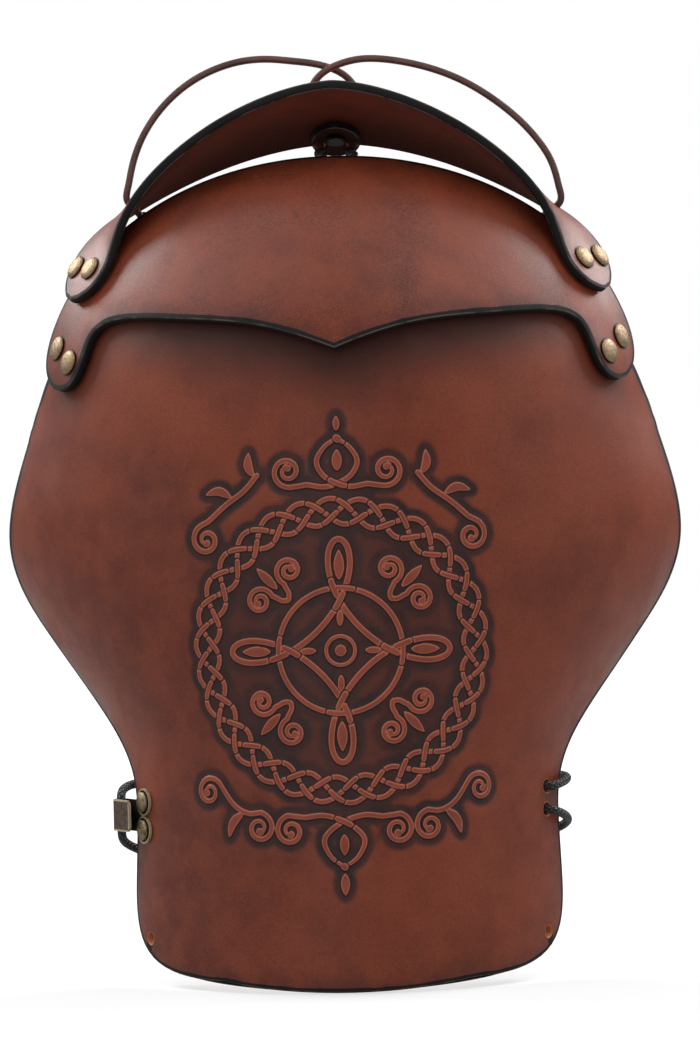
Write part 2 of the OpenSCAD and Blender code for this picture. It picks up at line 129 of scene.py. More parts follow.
ELASTIC_ROUTE = [
    [80.8, 49.9, -117], [85, 47.3, -117], [88.3, 45.2, -117], [90, 44.2, -117], [92.1, 45.4, -116.7],
    [94.9, 48.8, -115.9], [97, 52.8, -115], [97.9, 57.4, -114.1], [96.6, 62, -113.4],
    [91.2, 64.6, -113], [80, 64.2, -113], [60, 63.8, -113], [36, 63.8, -113], [12, 63.8, -113],
    [-12, 63.8, -113], [-36, 63.8, -113], [-60, 64, -113], [-80, 65, -113], [-90, 66.2, -113.2],
    [-96, 66.4, -113.8], [-99.6, 64.4, -115.2], [-101, 61.4, -117], [-101, 59.1, -119.2],
    [-101, 59.1, -122], [-101, 59.1, -127], [-101, 59.1, -132], [-101, 59.1, -135.6],
    [-100.9, 60.9, -138], [-99.4, 63.6, -140.4], [-95.6, 66, -142.6], [-90, 66.6, -145],
    [-80, 65.4, -146.6], [-60, 64, -146.6], [-36, 63.8, -145.4], [-12, 63.8, -144.2], [12, 63.8, -143],
    [36, 63.8, -141.8], [60, 63.8, -140.6], [80, 64.2, -139.4], [90.4, 64.2, -138],
    [95.6, 61.8, -135.6], [97.9, 57.4, -133.2], [97.2, 52.6, -131], [94.9, 48.2, -129.2],
    [92.2, 44.9, -128], [90, 43.9, -127.2], [88.1, 45, -127.2], [84.8, 47, -127.2],
    [80.6, 49.6, -127.2],
]
LACE_RIGHT_ROUTE = [
    [94.1, 81.2, 136.5], [96.6, 79.6, 138.9], [99.2, 78, 141.5], [100.8, 77, 143.1], [101.1, 76.3, 146],
    [99.9, 76.2, 150], [98.9, 76.4, 155.3], [96.3, 76.6, 163.5], [90, 76.8, 172.6], [82, 76.9, 181.4],
    [71.6, 77, 189.9], [60.5, 77.8, 197.3], [48.7, 78.8, 202.9], [36, 79.8, 206.9], [23.8, 80.7, 209.3],
    [13.2, 81.6, 210.1], [4.5, 82.8, 208.6], [-3, 84, 205.8], [-8.8, 86, 201.5], [-11.8, 89.5, 195],
    [-11.4, 94, 189], [-9.4, 97.4, 185], [-8.4, 97.7, 182], [-8.2, 96.7, 179.9], [-8, 95.6, 177.7],
    [-7.6, 93.8, 174.1], [-7.3, 92.4, 171.3], [-7, 90.8, 168.1],
]
LACE_LEFT_ROUTE = [
    [-88.2, 82.7, 141], [-90.5, 81.2, 143.6], [-93, 79.6, 146.3], [-94.5, 78.6, 148],
    [-94.5, 77.9, 151], [-93.3, 77.8, 155], [-92.4, 78, 160], [-90.8, 78.4, 166.8],
    [-87.6, 78.8, 175.3], [-82.8, 79.4, 183.5], [-76.2, 80.2, 191.8], [-67, 81.2, 199.9],
    [-55.6, 82.4, 206.3], [-42.6, 83.6, 210.4], [-30, 84.6, 211.2], [-19.6, 85.6, 209.9],
    [-9.5, 86.6, 208.9], [-1, 88, 206.6], [5.4, 89.4, 203.2], [9.4, 91.2, 198.2], [11, 93.4, 192],
    [10.6, 96.4, 187], [9, 98, 183.4], [8.4, 97.7, 182], [8.2, 96.7, 179.9], [8, 95.6, 177.7],
    [7.6, 93.8, 174.1], [7.3, 92.4, 171.3], [7, 90.8, 168.1],
]
ELASTIC_D = 4
LACE_D = 3.2
BRAID_PITCH = 2.2
BRAID_STRANDS = 6

# Holes as (angle round the arm in degrees, height along the middle line, radius).
ARM_HOLES = [[57.8, -181, 2.5], [-57.8, -181, 2.5], [58.2, -117, 2.7], [58, -127.2, 2.7]]
# Holes of the top plate at these angles round and over the shoulder, and their radius.
SIDE_LACE_HOLES = [[-37, 59.6, 2.1], [39.6, 57.8, 2.1]]
NECK_HOLE_X = 7.7
NECK_HOLE_SHARE = 0.93
LACE_HOLE_R = 2.1
# The hook's rivets lie this far round the arm, at this height, and this far apart.
HOOK_ANGLE = -59
HOOK_HEIGHT = -127
HOOK_RIVET_STEP = 12.4
HOOK_LOBE_R = 6
HOOK_LEAF_HALF = 7
HOOK_LEAF_START = 2.8
HOOK_LEAF_LIFT = 5.9
# The ring of painted shadow round a rivet's cap ends this far from the cap's middle.
CAP_SHADOW_R = 6.0


# Surfaces


def eased(t):
    """Goes from 0 to 1 with a soft start and end."""
    c = np.clip(t, 0, 1)
    return c * c * (3 - 2 * c)


def along(points, t):
    """A point of the smooth curve along a list of points, at t from 0 to 1."""
    p = np.asarray(points, float)
    padded = np.vstack([2 * p[0] - p[1], p, 2 * p[-1] - p[-2]])
    last = len(p) - 1
    t = np.asarray(t, float)
    k = np.clip(np.floor(t * last).astype(int), 0, last - 1)
    f = (t * last - k)[..., None]
    return (
        (1 - f) ** 3 * padded[k]
        + (3 * f**3 - 6 * f**2 + 4) * padded[k + 1]
        + (-3 * f**3 + 3 * f**2 + 3 * f + 1) * padded[k + 2]
        + f**3 * padded[k + 3]
    ) / 6


def unit(v):
    return v / np.maximum(np.linalg.norm(v, axis=-1, keepdims=True), 1e-12)


def girth(z):
    """Radius of the body form at this height."""
    widened = (HIP_R - ARM_R) * eased((z - WIDEN_FROM) / WIDEN_OVER)
    return ARM_R + widened - (HIP_R - BALL_R) * eased((z - NARROW_FROM) / NARROW_OVER)


def form(phi, s):
    """A point of the body form: angle round it, height along its middle line."""
    tilt = np.maximum(s - BALL_Z, 0) / BALL_R
    y = BALL_Y - BALL_R * np.cos(tilt)
    z = np.minimum(s, BALL_Z) + BALL_R * np.sin(tilt)
    around = girth(np.minimum(s, BALL_Z) + BALL_R * np.cos(phi) * np.sin(tilt))
    back = around * (np.cos(phi) - 1)
    return np.stack([around * np.sin(phi), y - back * np.cos(tilt), z + back * np.sin(tilt)], -1)


def arm_where(u, t):
    """Angle round the form and height along the middle line of the arm plate at (u, t)."""
    edge = along(ARM_OUTLINE, t)
    reach = np.arcsin(edge[..., 0] / girth(edge[..., 1]))
    bow = LOWER_BOW * (1 - eased(t / BOW_OVER))
    dip = UPPER_DIP * eased((t - DIP_FROM) / DIP_OVER)
    return u * reach, edge[..., 1] - (bow + dip) * (1 - u * u)


def arm_surface(u, t):
    """A point of the arm plate's outer face at shares (u, t) across and up it, and its normal."""
    phi, s = arm_where(u, t)
    e = 0.1
    across = form(phi + math.radians(e), s) - form(phi - math.radians(e), s)
    up = form(phi, s + e) - form(phi, s - e)
    return form(phi, s), unit(np.cross(across, up))


def ball_point(r, phi, theta):
    """A point at this distance from the shoulder's centre and at angles round and over it."""
    back = r * np.cos(phi)
    return np.stack([r * np.sin(phi), BALL_Y - back * np.cos(theta), BALL_Z + back * np.sin(theta)], -1)


def lame_point(front, neck, out, lift, u, v):
    """A point of a shoulder plate at share u across it and v from its front edge to its neck edge."""
    p = (1 - v)[..., None] * along(front, abs(u)) + v[..., None] * along(neck, abs(u))
    stand = lift * eased((FLARE_SHARE - v) / FLARE_SHARE) * eased((FLARE_ANGLE - p[..., 0]) / FLARE_ANGLE)
    phi = np.radians(np.where(u < 0, -1, 1) * p[..., 0])
    return ball_point(BALL_R + out + p[..., 2] + stand, phi, np.radians(p[..., 1]))


def lame_surface(*shape):
    def surface(u, v):
        e = 0.01
        across = lame_point(*shape, np.minimum(u + e, 1), v) - lame_point(*shape, np.maximum(u - e, -1), v)
        up = lame_point(*shape, u, v + e) - lame_point(*shape, u, v - e)
        return lame_point(*shape, u, v), unit(np.cross(across, up))

    return surface


middle_surface = lame_surface(MIDDLE_FRONT, MIDDLE_NECK, MIDDLE_OUT, FLARE)
top_surface = lame_surface(TOP_FRONT, TOP_NECK, TOP_OUT, 0)


def tab_half(t):
    """Half the neck tab's width at share t along it."""
    bulge = np.sqrt(np.maximum(1 - abs(2 * t - 1) ** TAB_ROUNDNESS, 0))
    return TAB_END_HALF_W + (TAB_HALF_W - TAB_END_HALF_W) * bulge


def tab_surface(a, t):
    """The neck tab, a from -1 to 1 across it and t from 0 to 1 along it, under the top lame."""
    v = TAB_SPAN[0] + (TAB_SPAN[1] - TAB_SPAN[0]) * t
    p, n = top_surface(tab_half(t) * a / NECK_REACH, v)
    return p - (LEATHER + TAB_GAP) * n, n


# Sheets of leather

# Distances in mm of the close lines along an edge, and the most that they take of a sheet.
NEAR_EDGE = [0, 0.12, 0.4, 0.8, 1.3, 2.2, 3.5, 5.5]
NEAR_SHARE = 0.3
RIM_SAMPLES = 5000
HOLE_RINGS = [0, 0.06, 0.2, 0.45, 0.9]
HOLE_SIDES = 28
HOLE_CLEAR = 1.4
TAB_HOLE_CLEAR = 1.05
# Cells by the ornament are split into this many each way.
SPLIT = 4
ARM_STEP = 3.2
ARM_SIDE_CELLS = 26
FAR = 30.0


def edged_places(length, count):
    """Places along lines of these lengths, close together at both ends, as shares."""
    length = np.asarray(length, float)[..., None]
    shrink = np.minimum(1, NEAR_SHARE * length / NEAR_EDGE[-1])
    near = np.array(NEAR_EDGE) * shrink
    inner = near[..., -1:] + (length - 2 * near[..., -1:]) * np.linspace(0, 1, count + 1)[1:-1]
    return np.concatenate([near, inner, (length - near)[..., ::-1]], -1) / length


def run_along(points):
    """Distance of each point from the first, along the line."""
    return np.r_[0, np.cumsum(np.linalg.norm(np.diff(points, axis=0), axis=1))]


def search_tree(points):
    """A tree that finds the nearest of these points."""
    tree = kdtree.KDTree(len(points))
    for i, p in enumerate(points):
        tree.insert(p, i)
    tree.balance()
    return tree


def nearest(points, queries):
    """Distance of each query from the nearest point."""
    tree = search_tree(points)
    return np.array([tree.find(q)[2] for q in queries])


def arm_grid():
    """Shares (u, t) of the arm plate's grid, a row at a time, with even cells round the ornament."""
    t = np.linspace(0, 1, 4001)
    middle = arm_where(np.zeros_like(t), t)[1]
    fine = (middle[1:] > ORNAMENT_LOW) & (middle[1:] < ORNAMENT_HIGH)
    by_edge = np.diff(run_along(along(ARM_OUTLINE, t))) / ARM_STEP
    by_middle = np.diff(middle) / np.where(fine, ORNAMENT_STEP, ARM_STEP)
    cost = np.r_[0, np.cumsum(np.maximum(np.maximum(by_edge, by_middle), 0))]
    rows = np.interp(np.linspace(0, cost[-1], int(cost[-1]) + 1), cost, t)
    close = [x for x in NEAR_EDGE[1:] if x < 4]
    low = np.interp([middle[0] + x for x in close], middle, t)
    high = np.interp([middle[-1] - x for x in close], middle, t)
    rows = np.unique(np.r_[rows, low, high].round(6))
    rows = rows[np.r_[True, np.diff(rows) > 1e-4]]
    rows[-1] = 1
    reach, height = along(ARM_OUTLINE, rows).T
    half = girth(height) * np.arcsin(reach / girth(height))
    band = np.minimum(ORNAMENT_HALF, 0.8 * half)
    centre = np.linspace(-1, 1, 2 * int(ORNAMENT_HALF / ORNAMENT_STEP) + 1) * band[:, None]
    outer = half - band
    shrink = np.minimum(1, NEAR_SHARE * outer / NEAR_EDGE[-1])[:, None]
    near = np.array(NEAR_EDGE) * shrink
    shares = np.linspace(0, 1, ARM_SIDE_CELLS + 1)[1:-1]
    run = band[:, None] + (outer[:, None] - near[:, -1:]) * shares
    right = np.concatenate([run, (half[:, None] - near)[:, ::-1]], 1)
    x = np.concatenate([-right[:, ::-1], centre, right], 1)
    return x / half[:, None], np.repeat(rows[:, None], x.shape[1], 1)


def lame_grid(surface, column_step, row_step, ribs=60):
    """Shares (u, v) of a shoulder plate's grid, close together at every edge."""
    u = np.linspace(-1, 1, 2001)
    run = run_along(surface(u, np.full_like(u, 0.5))[0])
    columns = np.interp(edged_places(run[-1], int(run[-1] / column_step)) * run[-1], run, u)
    v = np.linspace(0, 1, ribs)
    lines = surface(np.repeat(columns[:, None], ribs, 1), np.repeat(v[None], len(columns), 0))[0]
    length = np.linalg.norm(np.diff(lines, axis=-2), axis=-1).sum(-1)
    share = edged_places(length, int(length.max() / row_step))
    return np.repeat(columns[None], share.shape[1], 0), share.T


def outline_points(surface):
    """Close points round the edge of a sheet."""
    s = np.linspace(-1, 1, RIM_SAMPLES)
    t = np.linspace(0, 1, RIM_SAMPLES)
    one = np.ones(RIM_SAMPLES)
    sides = [surface(-one, t)[0], surface(one, t)[0], surface(s, 0 * one)[0], surface(s, one)[0]]
    return np.concatenate(sides)


def hole_patch(surface, centre, radius, loop_points):
    """Points and faces that fill the space between a round hole and a loop round it.

    Gives the new points' shares and spacing from the hole, and triangles in which
    numbers below len(loop_points) mean the loop's own points."""
    e = 1e-3
    u0, v0 = centre
    near, normals = surface(np.array([u0, u0 + e, u0]), np.array([v0, v0, v0 + e]))
    p, n = near[0], normals[0]
    du, dv = (near[1] - p) / e, (near[2] - p) / e
    e1 = unit(du)
    e2 = np.cross(n, e1)
    turn = np.linspace(0, 2 * math.pi, HOLE_SIDES, endpoint=False)
    flat, gap = [], []
    for extra in HOLE_RINGS:
        flat += [[(radius + extra) * math.cos(a), (radius + extra) * math.sin(a)] for a in turn]
        gap += [extra] * HOLE_SIDES
    flat = np.array(flat)
    to_flat = np.array([[du @ e1, dv @ e1], [du @ e2, dv @ e2]])
    shares = np.array([u0, v0]) + np.linalg.solve(to_flat, flat.T).T
    rel = loop_points - p
    loop_flat = np.stack([rel @ e1, rel @ e2], 1)
    count = len(loop_flat)
    every = [Vector(q) for q in np.vstack([loop_flat, flat])]
    edges = [(i, (i + 1) % count) for i in range(count)]
    for k in range(len(HOLE_RINGS)):
        base = count + k * HOLE_SIDES
        edges += [(base + i, base + (i + 1) % HOLE_SIDES) for i in range(HOLE_SIDES)]
    _, _, faces, origin, _, _ = geometry.delaunay_2d_cdt(every, edges, [], 0, 1e-6)
    original = [o[0] if o else -1 for o in origin]
    found = []
    for f in faces:
        ids = [original[i] for i in f]
        middle = np.mean([every[i] for i in ids], axis=0)
        if math.hypot(*middle) < radius * math.cos(math.pi / HOLE_SIDES):
            continue
        if inside_loop(middle, loop_flat):
            a, b, c = (np.array(every[i]) for i in ids[:3])
            turn_sign = (b[0] - a[0]) * (c[1] - a[1]) - (b[1] - a[1]) * (c[0] - a[0])
            found.append(ids if turn_sign > 0 else ids[::-1])
    return shares, np.array(gap), found


def inside_loop(point, loop):
    """Whether a flat point lies inside a closed loop."""
    a, b = loop, np.roll(loop, -1, 0)
    crossing = (a[:, 1] > point[1]) != (b[:, 1] > point[1])
    with np.errstate(divide="ignore", invalid="ignore"):
        x = a[:, 0] + (point[1] - a[:, 1]) / (b[:, 1] - a[:, 1]) * (b[:, 0] - a[:, 0])
    return bool((crossing & (point[0] < x)).sum() % 2)


def region_loop(cells):
    """The lattice points round a patch of cells, in order, from a grid of true and false."""
    step = {}
    for r, c in zip(*np.nonzero(cells)):
        sides = [
            ((r - 1, c), (r, c), (r, c + 1)),
            ((r, c + 1), (r, c + 1), (r + 1, c + 1)),
            ((r + 1, c), (r + 1, c + 1), (r + 1, c)),
            ((r, c - 1), (r + 1, c), (r, c)),
        ]
        for (nr, nc), a, b in sides:
            if not cells[nr, nc]:
                step[a] = b
    start = next(iter(step))
    loop = [start]
    while step[loop[-1]] != start:
        loop.append(step[loop[-1]])
    return loop


def sheet_mesh(name, surface, grid, holes=(), fine=None, clear=HOLE_CLEAR):
    """A closed sheet: outer face, inner face and the rim that joins them at half depth.

    Every point lies on the outer surface and carries its normal, its side (1 outer, -1 inner, 0 rim)
    and its distance in mm from the nearest edge and hole. The sheet node tree then gives it its
    thickness. Holes are cut clear of the grid's cells by this many mm, and fine cells are split."""
    us, vs = grid
    rows, columns = us.shape
    surface_points = surface(us, vs)[0]
    rim = nearest(outline_points(surface), surface_points.reshape(-1, 3)).reshape(rows, columns)
    border = np.ones((rows, columns), bool)
    border[1:-1, 1:-1] = False
    rim[border] = 0
    if fine is None:
        fine = np.zeros((rows - 1, columns - 1), bool)

    gone = np.zeros_like(fine)
    patches = []
    for u0, v0, radius in holes:
        centre = surface(np.array([u0]), np.array([v0]))[0][0]
        away = np.linalg.norm(surface_points - centre, axis=2)
        away = np.min([away[:-1, :-1], away[1:, 1:], away[:-1, 1:], away[1:, :-1]], axis=0)
        cells = away < radius + clear
        gone |= cells
        patches.append(((u0, v0), radius, region_loop(cells)))

    used = np.zeros((SPLIT * (rows - 1) + 1, SPLIT * (columns - 1) + 1), bool)
    used[::SPLIT, ::SPLIT] = True
    for r, c in zip(*np.nonzero(fine)):
        used[r * SPLIT:(r + 1) * SPLIT + 1, c * SPLIT:(c + 1) * SPLIT + 1] = True
    for _, _, loop in patches:
        ring = set(loop)
        for r in range(min(x[0] for x in ring), max(x[0] for x in ring) + 1):
            for c in range(min(x[1] for x in ring), max(x[1] for x in ring) + 1):
                if (r, c) not in ring and gone[r - 1:r + 1, c - 1:c + 1].all():
                    used[r * SPLIT, c * SPLIT] = False
    number = np.full(used.shape, -1)
    number[used] = np.arange(used.sum())

    down, across = (x / SPLIT for x in np.nonzero(used))
    r0 = np.minimum(down.astype(int), rows - 2)
    c0 = np.minimum(across.astype(int), columns - 2)
    a, b = down - r0, across - c0

    def blended(values):
        return (
            (1 - a) * (1 - b) * values[r0, c0]
            + (1 - a) * b * values[r0, c0 + 1]
            + a * (1 - b) * values[r0 + 1, c0]
            + a * b * values[r0 + 1, c0 + 1]
        )

    made = []

    def put(shares, *values):
        """Adds points with their rim gap, hole gap and side, and gives the number of the first."""
        first = sum(len(x[0]) for x in made)
        made.append([shares] + [np.broadcast_to(x, len(shares)) for x in values])
        return first

    put(np.stack([blended(us), blended(vs)], 1), blended(rim), FAR, 1)
    # The inner face is the plain grid again. It shares only its outermost points.
    outer_number = number[::SPLIT, ::SPLIT]
    inner = np.where(border, outer_number, -1)
    free = ~border & (outer_number >= 0)
    inner[free] = put(np.stack([us[free], vs[free]], 1), rim[free], FAR, -1) + np.arange(free.sum())

    faces = []
    r, c = np.nonzero(~gone & fine)
    for i in range(SPLIT):
        for j in range(SPLIT):
            y, x = r * SPLIT + i, c * SPLIT + j
            quads = [number[y, x], number[y, x + 1], number[y + 1, x + 1], number[y + 1, x]]
            faces += np.stack(quads, 1).tolist()
    for r, c in zip(*np.nonzero(~gone & ~fine)):
        y, x = r * SPLIT, c * SPLIT
        ring = [number[y, x + k] for k in range(SPLIT)]
        ring += [number[y + k, x + SPLIT] for k in range(SPLIT)]
        ring += [number[y + SPLIT, x + SPLIT - k] for k in range(SPLIT)]
        ring += [number[y + SPLIT - k, x] for k in range(SPLIT)]
        faces.append([int(k) for k in ring if k >= 0])
    for r, c in zip(*np.nonzero(~gone)):
        faces.append([int(inner[x]) for x in ((r, c), (r + 1, c), (r + 1, c + 1), (r, c + 1))])

    for centre, radius, loop in patches:
        at = tuple(np.array(loop).T)
        new, gap, triangles = hole_patch(surface, centre, radius, surface_points[at])
        edge, free = rim[at].min(), gap > 0
        first = put(new, edge, gap, free)
        ring = first + np.arange(len(new))
        faces += np.r_[outer_number[at], ring][np.array(triangles)].tolist()
        ring[free] = put(new[free], edge, gap[free], -1) + np.arange(free.sum())
        faces += np.r_[inner[at], ring][np.array(triangles)[:, ::-1]].tolist()

    shares, rim_gap, hole_gap, side = (np.concatenate(x) for x in zip(*made))
    points, normals = surface(shares[:, 0], shares[:, 1])
    mesh = bpy.data.meshes.new(name)
    mesh.from_pydata((points * MM).tolist(), [], faces)
    mesh.update()
    fields = {"surface_normal": normals, "side": side, "rim_gap": rim_gap, "hole_gap": hole_gap}
    for key, values in fields.items():
        set_values(mesh, key, values)
    return mesh, shares, side


def set_values(mesh, name, values):
    """A point attribute of numbers or vectors."""
    values = np.asarray(values, np.float32)
    if values.ndim == 2:
        mesh.attributes.new(name, "FLOAT_VECTOR", "POINT").data.foreach_set("vector", values.ravel())
    else:
        mesh.attributes.new(name, "FLOAT", "POINT").data.foreach_set("value", values)


# Ornament

ORNAMENT_HALF = 75
ORNAMENT_LOW = -163
ORNAMENT_HIGH = 50
ORNAMENT_CENTRE = -54
ORNAMENT_STEP = 2.2
RING_R = 62
# Past the ring the dark ground ends this many times sooner.
OUTER_FADE = 2.4
# Inside it no ground counts as further than this from a strand.
INNER_GROUND = -4.4
# Cells this near to a strand are split, as far out as SPLIT_HALF. The carving ends at CARVED_HALF.
GROUND_REACH = 3.2
SPLIT_HALF = (ORNAMENT_HALF, 120)
CARVED_HALF = (92, 128)
# Shares of the relief by which the strands rise and their ground sinks.
STRAND_RISE = 0.75
GROUND_DROP = 0.45
# A strand that passes under another ends this far from it, and one over it shows for this far.
UNDER_GAP = 0.62
OVER_REACH = 3.4
PATH_STEP = 0.3
# The share of a strand over which its end thins, and the share of a bead's size at which it starts.
TAPER = 0.16
BEAD_START = 0.6


def circled(centre, radius, angle):
    return np.array([centre[0] + radius * np.cos(angle), centre[1] + radius * np.sin(angle)]).T


def rounded(points, per=12):
    """A smooth open line through points."""
    p = np.asarray(points, float)
    padded = np.vstack([2 * p[0] - p[1], p, 2 * p[-1] - p[-2]])
    f = (np.arange(per) / per)[:, None]
    spans = []
    for k in range(len(p) - 1):
        a, b, c, d = padded[k:k + 4]
        start = 2 * b + (c - a) * f
        spans.append(0.5 * (start + (2 * a - 5 * b + 4 * c - d) * f**2 + (3 * b - 3 * c + d - a) * f**3))
    return np.vstack(spans + [p[-1:]])


def spiral(centre, start_radius, end_radius, start_angle, turns, count=60):
    """A spiral that winds inwards; the start angle is in degrees."""
    t = np.linspace(0, 1, count)
    radius = start_radius + (end_radius - start_radius) * t**0.85
    return circled(centre, radius, math.radians(start_angle) + 2 * math.pi * turns * t)


def strand(points, width=2.3, closed=False, tip=None, leaf=False, bead=0, woven=True):
    return {
        "points": np.asarray(points, float), "width": width, "closed": closed, "tip": tip,
        "leaf": leaf, "bead": bead, "woven": woven,
    }


def leaf(points, width):
    return strand(rounded(points), width, leaf=True, woven=False)


def scroll(points, width=2.2):
    """An open strand that thins to a bead at its inner end."""
    return strand(points, width, tip=1.5, bead=1.5, woven=False)


def mirrored(item):
    return {**item, "points": item["points"] * [-1, 1]}


def turned(item, angle):
    c, s = math.cos(angle), math.sin(angle)
    return {**item, "points": item["points"] @ np.array([[c, s], [-s, c]])}


def ring_strands():
    """Three strands plaited into a ring."""
    turn = np.linspace(0, 2 * math.pi, 720, endpoint=False) + math.pi / 2
    found = []
    for k in range(3):
        radius = 60 + 5.6 * np.sin(10 * turn + 2 * math.pi * k / 3)
        found.append(strand(circled((0, 0), radius, turn), 2.2, closed=True))
    return found


def centre_strands():
    """A knot of four loops through a ring, with scrolls and leaves in each quarter."""
    t = np.linspace(0, 2 * math.pi, 480, endpoint=False)
    loops = np.stack([30.5 * np.sin(t) - 17.5 * np.sin(3 * t), 30.5 * np.cos(t) + 17.5 * np.cos(3 * t)], 1)
    found = [
        strand(loops, 2.6, closed=True),
        strand(circled((0, 0), 27, t), 2.3, closed=True),
        strand(circled((0, 0), 6.2, t), 1.7, closed=True, woven=False),
        strand([[0, -0.01], [0, 0.01]], 5, woven=False),
    ]
    stem = rounded([(0.4, 31.4), (2.2, 33.2), (3.2, 36.4)])
    curl = scroll(np.vstack([stem, spiral((9.3, 40), 6.2, 1.3, 205, -1.6)]))
    quarter = [curl, mirrored(curl), leaf([(0, 38), (0, 44), (0, 51)], 4.6)]
    petal = leaf([(0, 30.5), (0, 37), (0, 43.5)], 5.2)
    small = leaf([(0, 10.5), (0, 14), (0, 18)], 3.4)
    for q in range(4):
        found += [turned(item, math.pi / 4 + q * math.pi / 2) for item in quarter]
        found += [turned(item, q * math.pi / 2) for item in (petal, small)]
    return found


def outer_strands():
    """Scrolls, leaves and a crest round the outside of the ring."""
    arch = rounded([(13, 71.6), (6, 70.5), (0, 71.9), (-6, 75.5), (-8.8, 81.5), (-5.4, 87.6), (0, 91.4)])
    crest = np.vstack([spiral((21.5, 77.4), 7, 1.5, 255, 1.55)[::-1], arch])
    foot = rounded([(-17, -71.6), (-8, -70.9), (2, -74.5), (8.6, -81), (6, -88.5), (0, -93.2)])
    drop = np.vstack([spiral((-23.4, -77.4), 6.8, 1.5, 100, 1.5)[::-1], foot])
    vine = rounded([(35, 76), (41, 69.4), (49.5, 63.4), (57.5, 56.6)])
    shoulder = np.vstack([vine, spiral((58.6, 48.6), 7, 1.4, 78, -1.5)])
    low_vine = rounded([(36.6, -69.4), (43, -69.8), (50, -66), (57.4, -56.4)])
    tip = spiral((62.4, -60.8), 6.6, 1.4, 139, -1.45)
    flank = np.vstack([spiral((37.6, -76.2), 6.8, 1.4, 98, 1.5)[::-1], low_vine, tip])
    half = [
        strand(crest, 2.3, tip=1.6, bead=1.6), strand(drop, 2.3, tip=1.5, bead=1.5), scroll(shoulder, 2.4),
        leaf([(36.4, 75.6), (38.8, 80), (38.6, 86)], 4.6),
        leaf([(46.4, 66.6), (52.4, 69.6), (58.8, 68)], 4.4),
        strand(flank, 2.3, tip=1.5, bead=1.5),
        leaf([(45, -69.4), (50.4, -74), (52.6, -80.6)], 4.6),
    ]
    found = half + [mirrored(item) for item in half]
    for low, high, width in ((77.5, 86.6, 5), (-79.2, -88.2, 4.6), (-96, -105.5, 4.4), (94.6, 101, 3.4)):
        found.append(leaf([(0, low), (0, (low + high) / 2), (0, high)], width))
    return found


def strand_samples(item):
    """Even points along a strand, their places along it, its length, and its half width there."""
    p = item["points"]
    if item["closed"]:
        p = np.vstack([p, p[:1]])
    run = run_along(p)
    length = run[-1]
    s = np.linspace(0, length, max(2, round(length / PATH_STEP)) + 1)
    if item["closed"]:
        s = s[:-1]
    points = np.stack([np.interp(s, run, p[:, i]) for i in (0, 1)], 1)
    half = np.full(len(s), item["width"] / 2 * settings("sizes").strand_width)
    share = s / max(length, 1e-9)
    if item["leaf"]:
        half = half * np.sin(math.pi * share) ** 0.8 * (1 - 0.25 * share)
    elif item["tip"] is not None:
        from_end = np.minimum(share, 1 - share) if item["woven"] else 1 - share
        half = item["tip"] / 2 + (item["width"] - item["tip"]) / 2 * np.clip(from_end / TAPER, 0, 1)
    if item["bead"]:
        at_end = s > length - item["bead"] * BEAD_START
        if item["woven"]:
            at_end |= s < item["bead"] * BEAD_START
        half = np.where(at_end, item["bead"], half)
    return points, s, length, half


def crossings(sampled):
    """Where woven strands cross: (strand, place, other strand, other place)."""
    owner, start, end, from_s, to_s = [], [], [], [], []
    for i, (item, (p, s, length, _)) in enumerate(sampled):
        if not item["woven"]:
            continue
        q, r = p[::3], s[::3]
        q = np.vstack([q, p[:1] if item["closed"] else p[-1:]])
        r = np.r_[r, length]
        owner += [i] * (len(q) - 1)
        start += list(q[:-1])
        end += list(q[1:])
        from_s += list(r[:-1])
        to_s += list(r[1:])
    start, end = np.array(start), np.array(end)
    from_s, to_s = np.array(from_s), np.array(to_s)
    found = []
    for k in range(len(start) - 1):
        r = end[k] - start[k]
        q = end[k + 1:] - start[k + 1:]
        w = start[k + 1:] - start[k]
        with np.errstate(divide="ignore", invalid="ignore"):
            whole = r[0] * q[:, 1] - r[1] * q[:, 0]
            a = (w[:, 0] * q[:, 1] - w[:, 1] * q[:, 0]) / whole
            b = (w[:, 0] * r[1] - w[:, 1] * r[0]) / whole
        for m in np.nonzero((a > 0) & (a <= 1) & (b > 0) & (b <= 1))[0]:
            j = k + 1 + m
            here = from_s[k] + a[m] * (to_s[k] - from_s[k])
            there = from_s[j] + b[m] * (to_s[j] - from_s[j])
            found.append((owner[k], here, owner[j], there))
    return found


def over_places(sampled):
    """Places along each strand where it passes over another, over and under by turns."""
    met = crossings(sampled)
    visits = {}
    for c, (i, a, j, b) in enumerate(met):
        visits.setdefault(i, []).append((a, c, 0))
        visits.setdefault(j, []).append((b, c, 1))
    for i in visits:
        visits[i].sort()
    over = {}
    waiting = sorted(visits)
    while waiting:
        known = [i for i in waiting if any(c in over for _, c, _ in visits[i])]
        pick = (known or waiting)[0]
        waiting.remove(pick)
        phase = 1
        for k, (_, c, side) in enumerate(visits[pick]):
            if c in over:
                phase = (1 if over[c] == side else -1) * (-1) ** k
                break
        for k, (_, c, side) in enumerate(visits[pick]):
            over.setdefault(c, side if phase * (-1) ** k > 0 else 1 - side)
    marks = {i: [] for i in visits}
    for c, (i, a, j, b) in enumerate(met):
        strand_number, place = (i, a) if over[c] == 0 else (j, b)
        marks[strand_number].append(place)
    return marks


